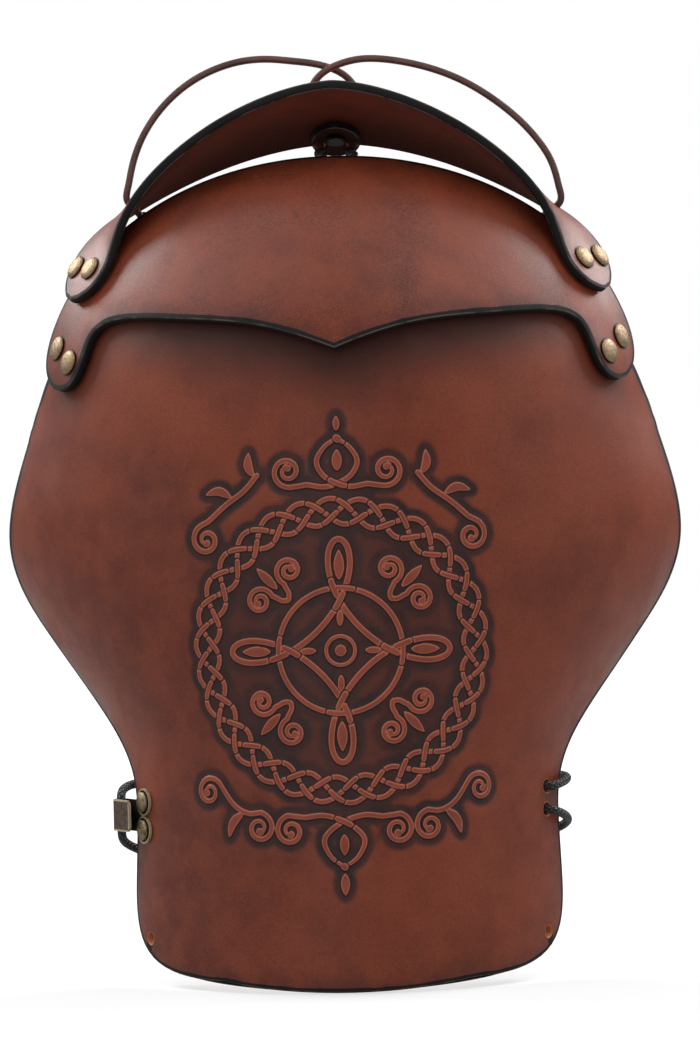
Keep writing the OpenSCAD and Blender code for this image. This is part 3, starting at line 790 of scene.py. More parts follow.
def strand_distance(queries):
    """Signed distance in mm from the edge of the nearest strand, above 0 on the strand."""
    sampled = [(item, strand_samples(item)) for item in ornament_strands()]
    marks = over_places(sampled)
    every, every_half, top, top_half = [], [], [], []
    for i, (item, (p, s, length, half)) in enumerate(sampled):
        every.append(p)
        every_half.append(half)
        near = np.zeros(len(p), bool)
        for place in marks.get(i, []):
            gap = abs(s - place)
            if item["closed"]:
                gap = np.minimum(gap, length - gap)
            near |= gap < OVER_REACH
        top.append(p[near])
        top_half.append(half[near])
    everywhere = edge_distance(np.vstack(every), np.concatenate(every_half), queries)
    above = edge_distance(np.vstack(top), np.concatenate(top_half), queries)
    return np.maximum(above, np.minimum(everywhere, -UNDER_GAP - above))


def edge_distance(points, half, queries):
    """Signed distance of each query from the edge of a line of points with these half widths."""
    tree = search_tree(flat3(points))
    return np.array([max(half[i] - d for _, i, d in tree.find_n(q, 5)) for q in flat3(queries)])


def flat3(points):
    """Flat points with a third coordinate of 0."""
    return np.c_[points, np.zeros(len(points))]


def ornament_strands():
    """Every strand of the ornament, in millimetres from its centre."""
    return ring_strands() + centre_strands() + outer_strands()


# Node helpers


class Value:
    """An output to calculate with: each sum or product adds a math node to its tree."""

    def __init__(self, socket):
        self.socket = socket
        self.tree = socket.id_data

    def maths(self, operation, other=0.0, clamp=False):
        how = {"operation": operation, "use_clamp": clamp}
        return add(self.tree, "ShaderNodeMath", how, i0=self, i1=other)

    def of(self, operation, other):
        """The operation with the other value first."""
        return add(self.tree, "ShaderNodeMath", {"operation": operation}, i0=other, i1=self)

    def __add__(self, other):
        return self.maths("ADD", other)

    def __sub__(self, other):
        return self.maths("SUBTRACT", other)

    def __mul__(self, other):
        return self.maths("MULTIPLY", other)

    def __rsub__(self, other):
        return self.of("SUBTRACT", other)

    def __rtruediv__(self, other):
        return self.of("DIVIDE", other)

    def __abs__(self):
        return self.maths("ABSOLUTE")


def join(value, socket):
    """Links a value to an input, or sets a plain one there."""
    if isinstance(value, Value):
        value.tree.links.new(value.socket, socket)
    else:
        socket.default_value = value


def feed(node, **values):
    """Joins values to a node's inputs. Names use _ for spaces, or are i0 for the first input."""
    for key, value in values.items():
        join(value, node.inputs[int(key[1:]) if key[1:].isdigit() else key.replace("_", " ")])


def new_node(tree, kind, settings=None, **inputs):
    node = tree.nodes.new(kind)
    for key, value in (settings or {}).items():
        setattr(node, key, value)
    feed(node, **inputs)
    return node


def add(tree, kind, settings=None, out=0, **inputs):
    """One output of a new node."""
    return Value(new_node(tree, kind, settings, **inputs).outputs[out])


def new_group(name, kind, inputs, outputs):
    """An empty node group, its inputs by name and its output node."""
    tree = bpy.data.node_groups.new(name, kind)
    for way, sockets in (("INPUT", inputs), ("OUTPUT", outputs)):
        for label, kind_of_socket, *default in sockets:
            socket = tree.interface.new_socket(label, in_out=way, socket_type="NodeSocket" + kind_of_socket)
            if default:
                socket.default_value = default[0]
    given = tree.nodes.new("NodeGroupInput")
    return tree, {s.name: Value(s) for s in given.outputs if s.name}, tree.nodes.new("NodeGroupOutput")


def scaled(vector, factor):
    return add(vector.tree, "ShaderNodeVectorMath", {"operation": "SCALE"}, i0=vector, Scale=factor)


def measured(operation, a, b=(0, 0, 0)):
    """A length, distance or dot product of vectors."""
    return add(a.tree, "ShaderNodeVectorMath", {"operation": operation}, "Value", i0=a, i1=b)


def apply_tree(obj, kind, values):
    """Runs a node tree on an object and gives its result as one plain mesh object."""
    tree = group(kind)
    change = obj.modifiers.new(tree.name, "NODES")
    change.node_group = tree
    for socket in tree.interface.items_tree:
        if socket.in_out == "INPUT" and socket.name in values:
            change[socket.identifier] = values[socket.name]
    graph = bpy.context.evaluated_depsgraph_get()
    mesh = bpy.data.meshes.new_from_object(obj.evaluated_get(graph))
    name, old = obj.name, obj.data
    bpy.data.objects.remove(obj)
    bpy.data.batch_remove([old])
    mesh.name = name
    return placed(name, mesh)


def placed(name, data):
    obj = bpy.data.objects.new(name, data)
    bpy.context.scene.collection.objects.link(obj)
    return obj


# Geometry trees


def point_value(tree, name, kind="FLOAT"):
    return add(tree, "GeometryNodeInputNamedAttribute", {"data_type": kind}, "Attribute", Name=name)


def sheet_tree():
    """Gives a sheet its thickness, its rounded rims and hole edges, and its relief."""
    tree, given, made = new_group(
        "sheet form", "GeometryNodeTree",
        [
            ("Geometry", "Geometry"), ("Thickness", "Float", LEATHER * MM), ("Rim width", "Float", 1.5),
            ("Hole rim width", "Float", 0.45), ("Relief", "Float", MM), ("Material", "Material"),
            ("Inner material", "Material"),
        ],
        [("Geometry", "Geometry")],
    )
    rim = point_value(tree, "rim_gap").maths("DIVIDE", given["Rim width"], clamp=True)
    hole = point_value(tree, "hole_gap").maths("DIVIDE", given["Hole rim width"], clamp=True)
    short = 1.0 - rim.maths("MINIMUM", hole)
    share = (1.0 - short * short).maths("SQRT")
    half = given["Thickness"] * 0.5
    side = point_value(tree, "side")
    relief = point_value(tree, "relief") * side.maths("MAXIMUM", 0.0) * given["Relief"]
    move = scaled(point_value(tree, "surface_normal", "FLOAT_VECTOR"), share * side * half - half + relief)
    shape = add(tree, "GeometryNodeSetPosition", Geometry=given["Geometry"], Offset=move)
    inside = add(tree, "FunctionNodeCompare", {"operation": "LESS_THAN"}, A=side, B=0.0)
    finish_tree(shape, given["Material"], made, given["Inner material"], inside)
    return tree


def finish_tree(shape, material, made, inner=None, inner_faces=None):
    """Smooths, realizes and paints a shape, and its inner faces with a material of their own."""
    tree = shape.tree
    shape = add(tree, "GeometryNodeSetShadeSmooth", Geometry=shape)
    shape = add(tree, "GeometryNodeRealizeInstances", Geometry=shape)
    shape = add(tree, "GeometryNodeSetMaterial", Geometry=shape, Material=material)
    if inner:
        shape = add(tree, "GeometryNodeSetMaterial", Geometry=shape, Selection=inner_faces, Material=inner)
    join(shape, made.inputs[0])


def cord_tree():
    """Sweeps a round or squarish section along a path and stores the run along and round it."""
    tree, given, made = new_group(
        "cord form", "GeometryNodeTree",
        [
            ("Geometry", "Geometry"), ("Step", "Float", MM), ("Radius", "Float", 2 * MM),
            ("Squareness", "Float", 0.0), ("Sides", "Int", 16), ("Material", "Material"),
        ],
        [("Geometry", "Geometry")],
    )

    def marked(curve, name, measure):
        """Stores where each point lies on its curve, and gives the curve and that place."""
        where = add(tree, "GeometryNodeSplineParameter", out=measure)
        how = {"data_type": "FLOAT", "domain": "POINT"}
        curve = add(tree, "GeometryNodeStoreNamedAttribute", how, Geometry=curve, Name=name, Value=where)
        return curve, where

    how = {"mode": "LENGTH"}
    path = add(tree, "GeometryNodeResampleCurve", how, Curve=given["Geometry"], Length=given["Step"])
    path = marked(path, "run", "Length")[0]
    ring = add(tree, "GeometryNodeCurvePrimitiveCircle", Resolution=given["Sides"], Radius=given["Radius"])
    ring, turn = marked(ring, "round", "Factor")
    bulge = (turn * (8 * math.pi)).maths("COSINE") * given["Squareness"]
    place = scaled(add(tree, "GeometryNodeInputPosition"), bulge + 1.0)
    section = add(tree, "GeometryNodeSetPosition", Geometry=ring, Position=place)
    tube = add(tree, "GeometryNodeCurveToMesh", Curve=path, Profile_Curve=section, Fill_Caps=True)
    finish_tree(tube, given["Material"], made)
    return tree


def curve_object(name, points, closed=False):
    """A poly curve through points in millimetres."""
    data = bpy.data.curves.new(name, "CURVE")
    data.dimensions = "3D"
    line = data.splines.new("POLY")
    line.points.add(len(points) - 1)
    flat = np.concatenate([np.asarray(points) * MM, np.ones((len(points), 1))], 1)
    line.points.foreach_set("co", flat.ravel())
    line.use_cyclic_u = closed
    return placed(name, data)


# Shader groups


def surface_value(near, name):
    """A value that the surface stores, for the tree of another value."""
    return add(near.tree, "ShaderNodeAttribute", {"attribute_name": name}, "Fac")


def off_middle(place):
    """Distance in metres from the middle plane of the piece."""
    return abs(add(place.tree, "ShaderNodeSeparateXYZ", out="X", Vector=place))


def noise(place, scale, detail=3.0, roughness=0.55, distortion=0.0):
    return add(
        place.tree, "ShaderNodeTexNoise", out="Fac", Vector=place, Scale=scale, Detail=detail,
        Roughness=roughness, Distortion=distortion,
    )


def ranged(value, low, high, to_low=0.0, to_high=1.0):
    """Eases a value from one range to another."""
    return add(
        value.tree, "ShaderNodeMapRange", {"interpolation_type": "SMOOTHSTEP"},
        Value=value, From_Min=low, From_Max=high, To_Min=to_low, To_Max=to_high,
    )


def mixed(factor, a, b):
    """A mix of two colours. A name stands for a colour of the panel."""
    a, b = (getattr(settings("colours"), x) if isinstance(x, str) else x for x in (a, b))
    tree = next(x.tree for x in (factor, a) if isinstance(x, Value))
    return add(tree, "ShaderNodeMix", {"data_type": "RGBA"}, 2, i0=factor, i6=a, i7=b)


def grain_group():
    """Fine leather grain, pores and slow colour blotches, from object coordinates."""
    tree, given, made = new_group(
        "leather grain", "ShaderNodeTree", [("Vector", "Vector"), ("Grain size", "Float", 1.0)],
        [(name, "Float") for name in ("Height", "Blotch", "Mottle", "Pores")],
    )
    place = given["Vector"]
    sized = scaled(place, 1.0 / given["Grain size"])
    cells = add(
        tree, "ShaderNodeTexVoronoi", {"feature": "DISTANCE_TO_EDGE"}, "Distance",
        Vector=sized, Scale=1000.0, Randomness=0.95,
    )
    height = ranged(cells, 0.0, 0.3) * 0.4 + noise(sized, 2400.0, 2.0) * 0.3
    height = height + noise(sized, 620.0, 3.0, 0.65) * 0.5
    patch = ranged(noise(place, 24.0, 3.0, 0.55, 0.5), 0.36, 0.74)
    speck = ranged(noise(sized, 860.0, 5.0, 0.75, 0.5), 0.58, 0.4)
    feed(
        made, Height=height, Blotch=ranged(noise(place, 11.0, 3.0, 0.5, 0.4), 0.32, 0.68),
        Mottle=ranged(noise(place, 60.0, 5.0, 0.62), 0.3, 0.7), Pores=patch * speck,
    )
    return tree


def marks_group():
    """Smudges that break up gloss."""
    tree, given, made = new_group(
        "handling marks", "ShaderNodeTree", [("Vector", "Vector")], [("Smudge", "Float")]
    )
    feed(made, Smudge=ranged(noise(given["Vector"], 34.0, 4.0, 0.6, 0.8), 0.35, 0.75))
    return tree


GROUP_MAKERS = {"grain": grain_group, "marks": marks_group, "sheet": sheet_tree, "cord": cord_tree}
# Groups and inner materials that are built already, by name.
STORE = {}


def group(kind):
    """A node group by its name, built the first time that it is asked for."""
    if kind not in STORE:
        STORE[kind] = GROUP_MAKERS[kind]()
    return STORE[kind]


def effect(place, kind, **inputs):
    """The outputs, by name, of a shared effect that is put in a material."""
    node = new_node(place.tree, "ShaderNodeGroup", {"node_tree": group(kind)}, Vector=place, **inputs)
    return {s.name: Value(s) for s in node.outputs}


def new_material(name, roughness, **constants):
    """A material, its shader and its coordinates. Constants go on the shader's own sockets."""
    material = bpy.data.materials.new(name)
    material.use_nodes = True
    tree = material.node_tree
    tree.nodes.clear()
    shader = new_node(tree, "ShaderNodeBsdfPrincipled", Roughness=roughness, **constants)
    out = tree.nodes.new("ShaderNodeOutputMaterial")
    tree.links.new(shader.outputs[0], out.inputs["Surface"])
    return material, shader, add(tree, "ShaderNodeTexCoord", out="Object")


def bumped(shader, height, distance, strength=1.0):
    bump = add(height.tree, "ShaderNodeBump", Height=height, Distance=distance, Strength=strength)
    feed(shader, Normal=bump)


# Materials


def black_edge(place, colour, mottle, edge_width, side_width=0.0):
    """Blackens the rim of a sheet and bares the leather in its holes, and gives the mask of the rim.

    side_width is how much wider the black is along the flanks than elsewhere, in mm."""
    rim = surface_value(place, "rim_gap")
    uneven = rim - ranged(off_middle(place), 0.085, 0.115, 0.0, side_width)
    uneven = uneven + ranged(mottle, 0.0, 1.0, -0.2, 0.2)
    burnished = ranged(uneven, edge_width + 0.3, edge_width - 0.2)
    colour = mixed(burnished, colour, "edge")
    # A pale line just inside the rim: partly worn leather, partly a painted highlight on the rounded edge.
    wear_and_highlight = ranged(rim, 0.15, 0.45) * ranged(rim, 1.0, 0.6) * ranged(mottle, 0.3, 0.7, 0.15, 0.5)
    colour = mixed(wear_and_highlight, colour, "edge_worn")
    return mixed(ranged(surface_value(place, "hole_gap"), 1.0, 0.6), colour, "raw"), burnished


def from_caps(place, caps):
    """Distance in mm from the nearest of the caps with these names."""
    least = FAR
    for cap in caps:
        low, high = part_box(cap)
        centre = [(a + b) / 2 for a, b in zip(low, high)]
        least = (measured("DISTANCE", place, centre) * (1 / MM)).maths("MINIMUM", least)
    return least


def leather_material(
    name, edge_width, pore_share=0.3, side_width=0.0, carved=False, painted_shade=0.0, caps=()
):
    """The dyed grain side: mottled, darker towards its black edges, with fine grain and pores."""
    material, shader, place = new_material(name, 0.42, Specular_IOR_Level=0.28)
    grain = effect(place, "grain")
    mottle = grain["Mottle"]
    colour = mixed(grain["Blotch"], "leather", "leather_dark")
    colour = mixed(mottle * 0.5, colour, "leather_warm")
    rim_shade = ranged(surface_value(place, "rim_gap") + mottle * 6.0, 15.0, 0.0) * 0.6
    hollows = ranged(grain["Height"], 0.7, 0.45, 0.0, 0.25)
    # painted_shade darkens the whole sheet, as painted shade for a piece that sits in shadow.
    for share in (grain["Pores"] * pore_share, hollows, painted_shade, rim_shade):
        if share:
            colour = mixed(share, colour, "leather_deep")
    height = grain["Height"] * 0.3
    rough = ranged(effect(place, "marks")["Smudge"], 0.0, 1.0, 0.37, 0.5)
    if carved:
        # Painted shade under the front edge of the middle plate, narrower along the flanks; it also makes
        # the leather there rougher.
        below = surface_value(place, "lap_gap") + ranged(off_middle(place), 0.06, 0.12, 0.0, 14.0)
        lapped = ranged(below, 36.0, 2.0, 0.0, 0.95)
        colour = mixed(lapped, colour, "lapped")
        rough = rough + lapped * 0.2
        colour, height = carved_look(colour, height, mottle)
    if caps:
        # A ring of painted shadow on the leather round each rivet cap.
        cap_shadow = ranged(from_caps(place, caps), CAP_SHADOW_R + 0.5, CAP_SHADOW_R, 0.0, 0.85)
        colour = mixed(cap_shadow, colour, "edge")
    colour, burnished = black_edge(place, colour, mottle, edge_width, side_width)
    feed(shader, Base_Color=colour, Roughness=rough + burnished * 0.3)
    bumped(shader, height, 0.3 * MM, 0.7)
    return material


def carved_look(colour, height, mottle):
    """Darkens the ground of the ornament, lights its strands and sets them off with fine lines and a
    painted highlight along their edges.
    """
    gap = surface_value(colour, "strand")
    ground = ranged(gap, -8.0, -2.0) * ranged(mottle, 0.0, 1.0, 0.8, 1.0)
    colour = mixed(ground, colour, "antique")
    line = ranged(gap, -0.9, -0.35) * ranged(gap, 0.0, -0.2) * 0.7
    colour = mixed(line, colour, "edge")
    top = mixed(mottle, "strand", "strand_dark")
    colour = mixed(ranged(gap, -0.2, 0.12), colour, top)
    # A painted highlight along the edges of the strands.
    lit = ranged(gap, -0.05, 0.15) * ranged(gap, 0.65, 0.3) * 0.7
    colour = mixed(lit, colour, "strand_edge")
    return colour, height + ranged(gap, -0.4, 0.3) * 1.4


def inner_leather(name="inner_leather", far_depth=(0.02, 0.3), shaded=False):
    """The matt flesh side, plain suede or a deep one darkened by painted shade, made once for each name.

    It turns from one colour to another between two depths, in metres."""
    if name in STORE:
        return STORE[name]
    # With shaded set the face turns from flesh to flesh_dark towards the back, as painted shade under the
    # top plate; otherwise it turns from suede to suede_dark towards the back.
    near, far = ("flesh", "flesh_dark") if shaded else ("suede", "suede_dark")
    material, shader, place = new_material(name, 0.9, Specular_IOR_Level=0.1)
    mottle = effect(place, "grain", Grain_size=1.6)["Mottle"]
    depth = add(place.tree, "ShaderNodeSeparateXYZ", out="Y", Vector=place)
    colour = mixed(ranged(depth, *far_depth), near, far)
    colour = mixed(mottle * 0.3, colour, far)
    fibre = noise(place, 900.0, 4.0, 0.7, 1.2)
    colour = mixed(ranged(fibre, 0.45, 0.7, 0.0, 0.25), colour, "leather_dark")
    feed(shader, Base_Color=black_edge(place, colour, mottle, 1.0)[0])
    bumped(shader, fibre, 0.3 * MM, 0.6)
    STORE[name] = material
    return material


def lace_material(name, painted_shade=0.0):
    """Squarish cut lace with blackened corners."""
    material, shader, place = new_material(name, 0.55)
    grain = effect(place, "grain", Grain_size=0.6)
    colour = mixed(grain["Mottle"], "lace", "lace_dark")
    corner = (surface_value(place, "round") * (8 * math.pi)).maths("COSINE")
    # painted_shade darkens the whole lace towards the edge colour, as painted shade for knots that sit in
    # shadow.
    colour = mixed(ranged(corner, 0.5, 1.0, painted_shade, max(painted_shade, 0.65)), colour, "edge")
    feed(shader, Base_Color=colour)
    bumped(shader, grain["Height"], 0.2 * MM, 0.7)
    return material


def elastic_material():
    """Black braid: two sets of slanting strands that pass over and under each other, with painted highlight
    on the strands and painted shade in the gaps.
    """
    material, shader, place = new_material("elastic_braid", 0.42, Specular_IOR_Level=0.5)
    run = surface_value(place, "run") * (1 / BRAID_PITCH / MM)
    turn = surface_value(place, "round") * BRAID_STRANDS
    over, under = ((slant.maths("FRACT") * math.pi).maths("SINE") for slant in (run + turn, run - turn))
    height = over * under
    fuzz = noise(place, 3800.0, 2.0)
    # Painted highlight on the tops of the strands; the gaps take painted shade.
    lit = ranged(height, 0.45, 0.95) * ranged(fuzz, 0.3, 0.65)
    feed(shader, Base_Color=mixed(lit, "elastic_dark", "elastic"))
    bumped(shader, height + fuzz * 0.2, 0.5 * MM)
    return material


def brass_material(name, patina_share, tarnish=0.0, tint=None):
    """Antique brass: fine dark stippling and streaks of patina over rubbed bright brass.

    tarnish is how far it is from bright brass to pewter, or to the tint where one is given."""
    colours = settings("colours")
    material, shader, place = new_material(name, 0.4, Metallic=1.0)
    stipple = ranged(noise(place, 2100.0, 2.0, 0.6), 0.52, 0.4)
    streak = ranged(noise(place, 330.0, 4.0, 0.65, 0.8), 0.46, 0.62)
    dark = (stipple * 0.4).maths("ADD", streak * patina_share, clamp=True)
    rubbed = [a + (b - a) * tarnish for a, b in zip(colours.brass, tint or colours.pewter)]
    colour = mixed(dark, rubbed, tint or "brass_dark")
    rough = ranged(dark, 0.0, 1.0, 0.4, 0.58) + effect(place, "marks")["Smudge"] * 0.1
    feed(shader, Base_Color=colour, Roughness=rough)
    bumped(shader, 1.0 - stipple * 0.6, 0.12 * MM, 0.6)
    return material, shader, place, colour


def hook_material():
    """Tarnished brass with light lines of rubbed brass and painted highlight along the rims of the hook's
    leaf and of its two lobes, and painted shadow in its neck.
    """
    material, shader, place, colour = brass_material("antique_brass_hook", 0.75, 0.6)
    angle = math.radians(HOOK_ANGLE)
    foot = [float(x) * MM for x in form(np.array(angle), np.array(float(HOOK_HEIGHT)))]
    out = (math.sin(angle), -math.cos(angle), 0.0)
    local = add(place.tree, "ShaderNodeVectorMath", {"operation": "SUBTRACT"}, i0=place, i1=foot)
    axes = ((out[1], -out[0], 0.0), (0.0, 0.0, 1.0), out)
    across, upward, height = (measured("DOT_PRODUCT", local, axis) * (1 / MM) for axis in axes)
    upward = abs(upward)
    lobe_up = upward - HOOK_RIVET_STEP / 2
    from_rivet = (lobe_up * lobe_up + across * across).maths("SQRT")
    lobe_rim = ranged(from_rivet, HOOK_LOBE_R - 0.7, HOOK_LOBE_R - 0.3)
    lobe_rim = lobe_rim * ranged(from_rivet, HOOK_LOBE_R + 0.4, HOOK_LOBE_R + 0.1)
    groove = ranged(from_rivet, 4.2, 4.5) * ranged(from_rivet, 5.3, 5.0)
    leaf_gap = (HOOK_LEAF_HALF - upward).maths("MINIMUM", across - HOOK_LEAF_START)
    on_leaf = ranged(height, HOOK_LEAF_LIFT - 0.4, HOOK_LEAF_LIFT)
    leaf_rim = ranged(leaf_gap, 0.9, 0.55)
    base_only = 1.0 - on_leaf
    colour = mixed(on_leaf * (1.0 - leaf_rim) * 0.8, colour, "hook_face")
    colour = mixed(groove * base_only, colour, "edge")
    # Painted shadow in the hook's neck, between its lobes and its leaf.
    neck = base_only * ranged(from_rivet, HOOK_LOBE_R, HOOK_LOBE_R + 0.5)
    colour = mixed(neck * 0.9, colour, "edge")
    # Rubbed brass and painted highlight along the rims of the leaf and lobes.
    light = (on_leaf * leaf_rim).maths("ADD", base_only * lobe_rim, clamp=True)
    feed(shader, Base_Color=mixed(light * 0.85, colour, "hook_rim"))
    return material


# Settings in the panel


def paint(*screen):
    """A colour given as red, green and blue from 0 to 255 on screen, as linear values."""
    shares = [x / 255 for x in screen]
    return [x / 12.92 if x <= 0.04045 else ((x + 0.055) / 1.055) ** 2.4 for x in shares] + [1.0]


def tone(name, description, *screen):
    return bpy.props.FloatVectorProperty(
        name=name, description=description, default=paint(*screen), subtype="COLOR", size=4, min=0, max=1
    )


def amount(name, description, default, low, high, **more):
    return bpy.props.FloatProperty(
        name=name, description=description, default=default, min=low, max=high, **more
    )


class PauldronColours(bpy.types.PropertyGroup):
    """Colours of the leather, brass and cords"""

    leather: tone("Leather", "Main colour of the leather", 138, 62, 38)
    leather_dark: tone("Dark leather", "Slow darker blotches in the leather", 106, 46, 31)
    leather_warm: tone("Warm leather", "Small lighter mottling in the leather", 150, 72, 46)
    leather_deep: tone("Deep leather", "Pores and the shade near the edges", 58, 30, 26)
    # Painted shade: the colour that the arm plate takes just under the middle plate's front edge.
    lapped: tone("Lapped leather", "Shade under the edge of the plate above", 44, 17, 11)
    # The inner faces of the arm and middle plates turn from suede to suede_dark towards the back of the
    # piece and in slow mottles.
    suede: tone("Inner face", "Rough inner face of the arm and middle plates", 120, 68, 46)
    suede_dark: tone("Worn inner face", "Darker rubbed inner face", 78, 44, 32)
    # The inner face of the top plate and of the neck tab is painted shade: lighter by the visor's front
    # edge, near black further in.
    flesh: tone("Visor's inner face", "Inner face of the top plate near its front edge", 106, 37, 12)
    flesh_dark: tone("Visor's deep inner face", "Inner face of the top plate further in", 38, 17, 10)
    raw: tone("Hole wall", "Bare leather inside punched holes", 172, 104, 68)
    antique: tone("Antique ground", "Dark stain in the ground of the ornament", 47, 28, 28)
    strand: tone("Strands", "Raised strands of the ornament", 152, 74, 54)
    strand_dark: tone("Dark strands", "Darker patches of the strands", 130, 62, 46)
    strand_edge: tone("Strand edges", "Light lines along the strands", 192, 112, 88)
    edge: tone("Edge", "Burnished black edges", 11, 10, 10)
    # A pale line along the black edges: wear and a painted highlight.
    edge_worn: tone("Worn edge", "Rubbed line along the black edges", 134, 114, 110)
    lace: tone("Lace", "Leather laces", 104, 66, 56)
    lace_dark: tone("Dark lace", "Darker patches of the laces", 72, 44, 38)
    # The black braid's strands are painted lighter as painted highlight, and its gaps near black as painted
    # shade.
    elastic: tone("Elastic", "Strands of the black elastic cord", 78, 80, 76)
    elastic_dark: tone("Dark elastic", "Gaps between the braid's strands", 14, 14, 14)
    brass: tone("Brass", "Rubbed high places of the antique brass", 158, 136, 108)
    brass_dark: tone("Brass patina", "Dark hollows of the antique brass", 84, 66, 42)
    # The stud under the neck tab takes this near black colour as painted shade.
    blackened: tone("Blackened brass", "Blackened stud under the neck tab", 26, 22, 20)
    pewter: tone("Tarnished brass", "Greyer brass of the hook and its rivets", 150, 136, 110)
    hook_face: tone("Hook face", "Dark face of the hook's leaf", 84, 66, 60)
    # The hook's rims: rubbed brass and painted highlight.
    hook_rim: tone("Hook rims", "Rubbed rims of the hook", 208, 198, 168)


class PauldronSizes(bpy.types.PropertyGroup):
    """Sizes of the finished surfaces"""

    rim_width: amount(
        "Rim width", "How far the rounding of a leather edge reaches inwards, in mm", 0.7, 0.4, 3
    )
    relief: amount(
        "Relief", "Height of the strands over their ground", 0.8 * MM, 0, 1.5 * MM,
        subtype="DISTANCE", precision=5,
    )
    strand_width: amount(
        "Strand width", "Width of the ornament's strands as a share of the drawn width", 1, 0.6, 1.4,
        subtype="FACTOR",
    )
    cord_sides: bpy.props.IntProperty(
        name="Cord sides", description="Sides of the section of cords and laces", default=16, min=8, max=32
    )
    cord_step: amount(
        "Cord step", "Spacing of the rings along cords and laces", 1.2 * MM, 0.5 * MM, 5 * MM,
        subtype="DISTANCE", precision=5,
    )


class PauldronStage(bpy.types.PropertyGroup):
    """Camera and lamps"""

    distance: amount(
        "Camera distance", "From the front of the piece", CAMERA_DISTANCE, 1, 4, subtype="DISTANCE"
    )
    key_power: amount("Side lamps", "Power of each lamp at the sides, in watts", 8.2, 0, 200)
    back_power: amount("Rear lamps", "Power of each lamp behind the piece, in watts", 20, 0, 200)
    top_power: amount("Top lamps", "Power of each lamp overhead, in watts", 9.8, 0, 200)
    front_power: amount("Front lamp", "Power of the lamp by the camera, in watts", 7, 0, 200)
    room_light: amount("Room light", "Strength of the even light from all round", 0.2, 0, 3)


def settings(kind):
    """The scene's settings of one kind: colours, sizes or stage."""
    return getattr(bpy.context.scene, "pauldron_" + kind)


# Pieces

KNOT_STEP = 0.5
KNOT_SIDES = 12


def join_frame(obj, body, replaced):
    """Makes a piece move with a body and take the place of a CAD node."""
    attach(obj, body)
    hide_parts(replaced)


def finish_sheet(
    name, surface, grid, material, body, replaced,
    holes=(), thickness=LEATHER, carve=False, clear=HOLE_CLEAR, inner=None,
):
    """Builds one sheet of leather from its surface and joins it to its body."""
    sizes = settings("sizes")
    fine = ornament_cells(*grid) if carve else None
    mesh, shares, side = sheet_mesh(name, surface, grid, holes, fine, clear)
    relief = np.zeros(len(shares))
    if carve:
        gap = ornament_gap(shares, side)
        relief = eased((gap + 0.45) / 0.8) * STRAND_RISE - eased((gap + 9) / 7) * GROUND_DROP
        set_values(mesh, "strand", gap)
        set_values(mesh, "lap_gap", lap_gap(mesh))
    set_values(mesh, "relief", relief)
    obj = apply_tree(placed(name, mesh), "sheet", {
        "Thickness": thickness * MM, "Rim width": sizes.rim_width, "Relief": sizes.relief,
        "Material": material, "Inner material": inner or inner_leather(),
    })
    for extra in ("surface_normal", "relief"):
        obj.data.attributes.remove(obj.data.attributes[extra])
    join_frame(obj, body, replaced)


def lap_gap(mesh):
    """Distance in mm of a mesh's points from the front edge of the middle plate."""
    places = np.empty(len(mesh.vertices) * 3)
    mesh.vertices.foreach_get("co", places)
    u = np.linspace(-1, 1, 801)
    edge = middle_surface(u, np.zeros(len(u)))[0]
    return nearest(edge, places.reshape(-1, 3) / MM)


def ornament_place(shares):
    """Where points of the arm plate lie in the ornament's own flat millimetres."""
    phi, s = arm_where(shares[..., 0], shares[..., 1])
    return np.stack([phi * girth(s), s - ORNAMENT_CENTRE], -1)


def ornament_cells(us, vs):
    """Cells of the arm plate's grid that lie on or by the ornament."""
    where = ornament_place(np.stack([us, vs], -1))
    middle = (where[:-1, :-1] + where[1:, 1:]) / 2
    points = np.vstack([strand_samples(item)[0][::4] for item in ornament_strands()])
    near = np.zeros(middle.shape[:2], bool)
    rows, columns = np.nonzero((abs(middle) < SPLIT_HALF).all(-1))
    near[rows, columns] = nearest(flat3(points), flat3(middle[rows, columns])) < GROUND_REACH
    return near


def ornament_gap(shares, side):
    """Signed distance in mm of the plate's points from the nearest strand, as its colours use it."""
    where = ornament_place(shares)
    gap = np.full(len(shares), -FAR)
    close = (side > 0) & (abs(where) < CARVED_HALF).all(1)
    gap[close] = strand_distance(where[close])
    inside = np.hypot(where[:, 0], where[:, 1]) < RING_R
    faded = np.where(gap < -2, -2 + (gap + 2) * OUTER_FADE, gap)
    return np.where(inside, np.maximum(gap, INNER_GROUND), np.maximum(faded, -FAR))


def cord_path(route, step=0.6):
    """Even points along a route, and its length."""
    t = np.linspace(0, 1, 2400)
    dense = along(route, t)
    run = run_along(dense)
    places = np.linspace(0, run[-1], int(run[-1] / step))
    return np.stack([np.interp(places, run, x) for x in dense.T], 1), run[-1]


def finish_cord(name, route, diameter, squareness, material, body, replaced):
    sizes = settings("sizes")
    path, length = cord_path(route)
    obj = apply_tree(curve_object(name, path), "cord", {
        "Step": sizes.cord_step, "Radius": diameter / 2 * MM, "Squareness": squareness,
        "Sides": sizes.cord_sides, "Material": material,
    })
    join_frame(obj, body, replaced)


def knot_path(centre, axis, size, count=90):
    """A tied overhand knot: a closed three-lobed loop round a point, turned to an axis."""
    t = np.linspace(0, 2 * math.pi, count, endpoint=False)
    flat = [np.sin(t) + 2 * np.sin(2 * t), np.cos(t) - 2 * np.cos(2 * t), -np.sin(3 * t) * 1.15]
    turn = Vector((0, 0, 1)).rotation_difference(Vector(axis)).to_matrix()
    return np.stack(flat, 1) / 3 * size @ np.array(turn).T + centre


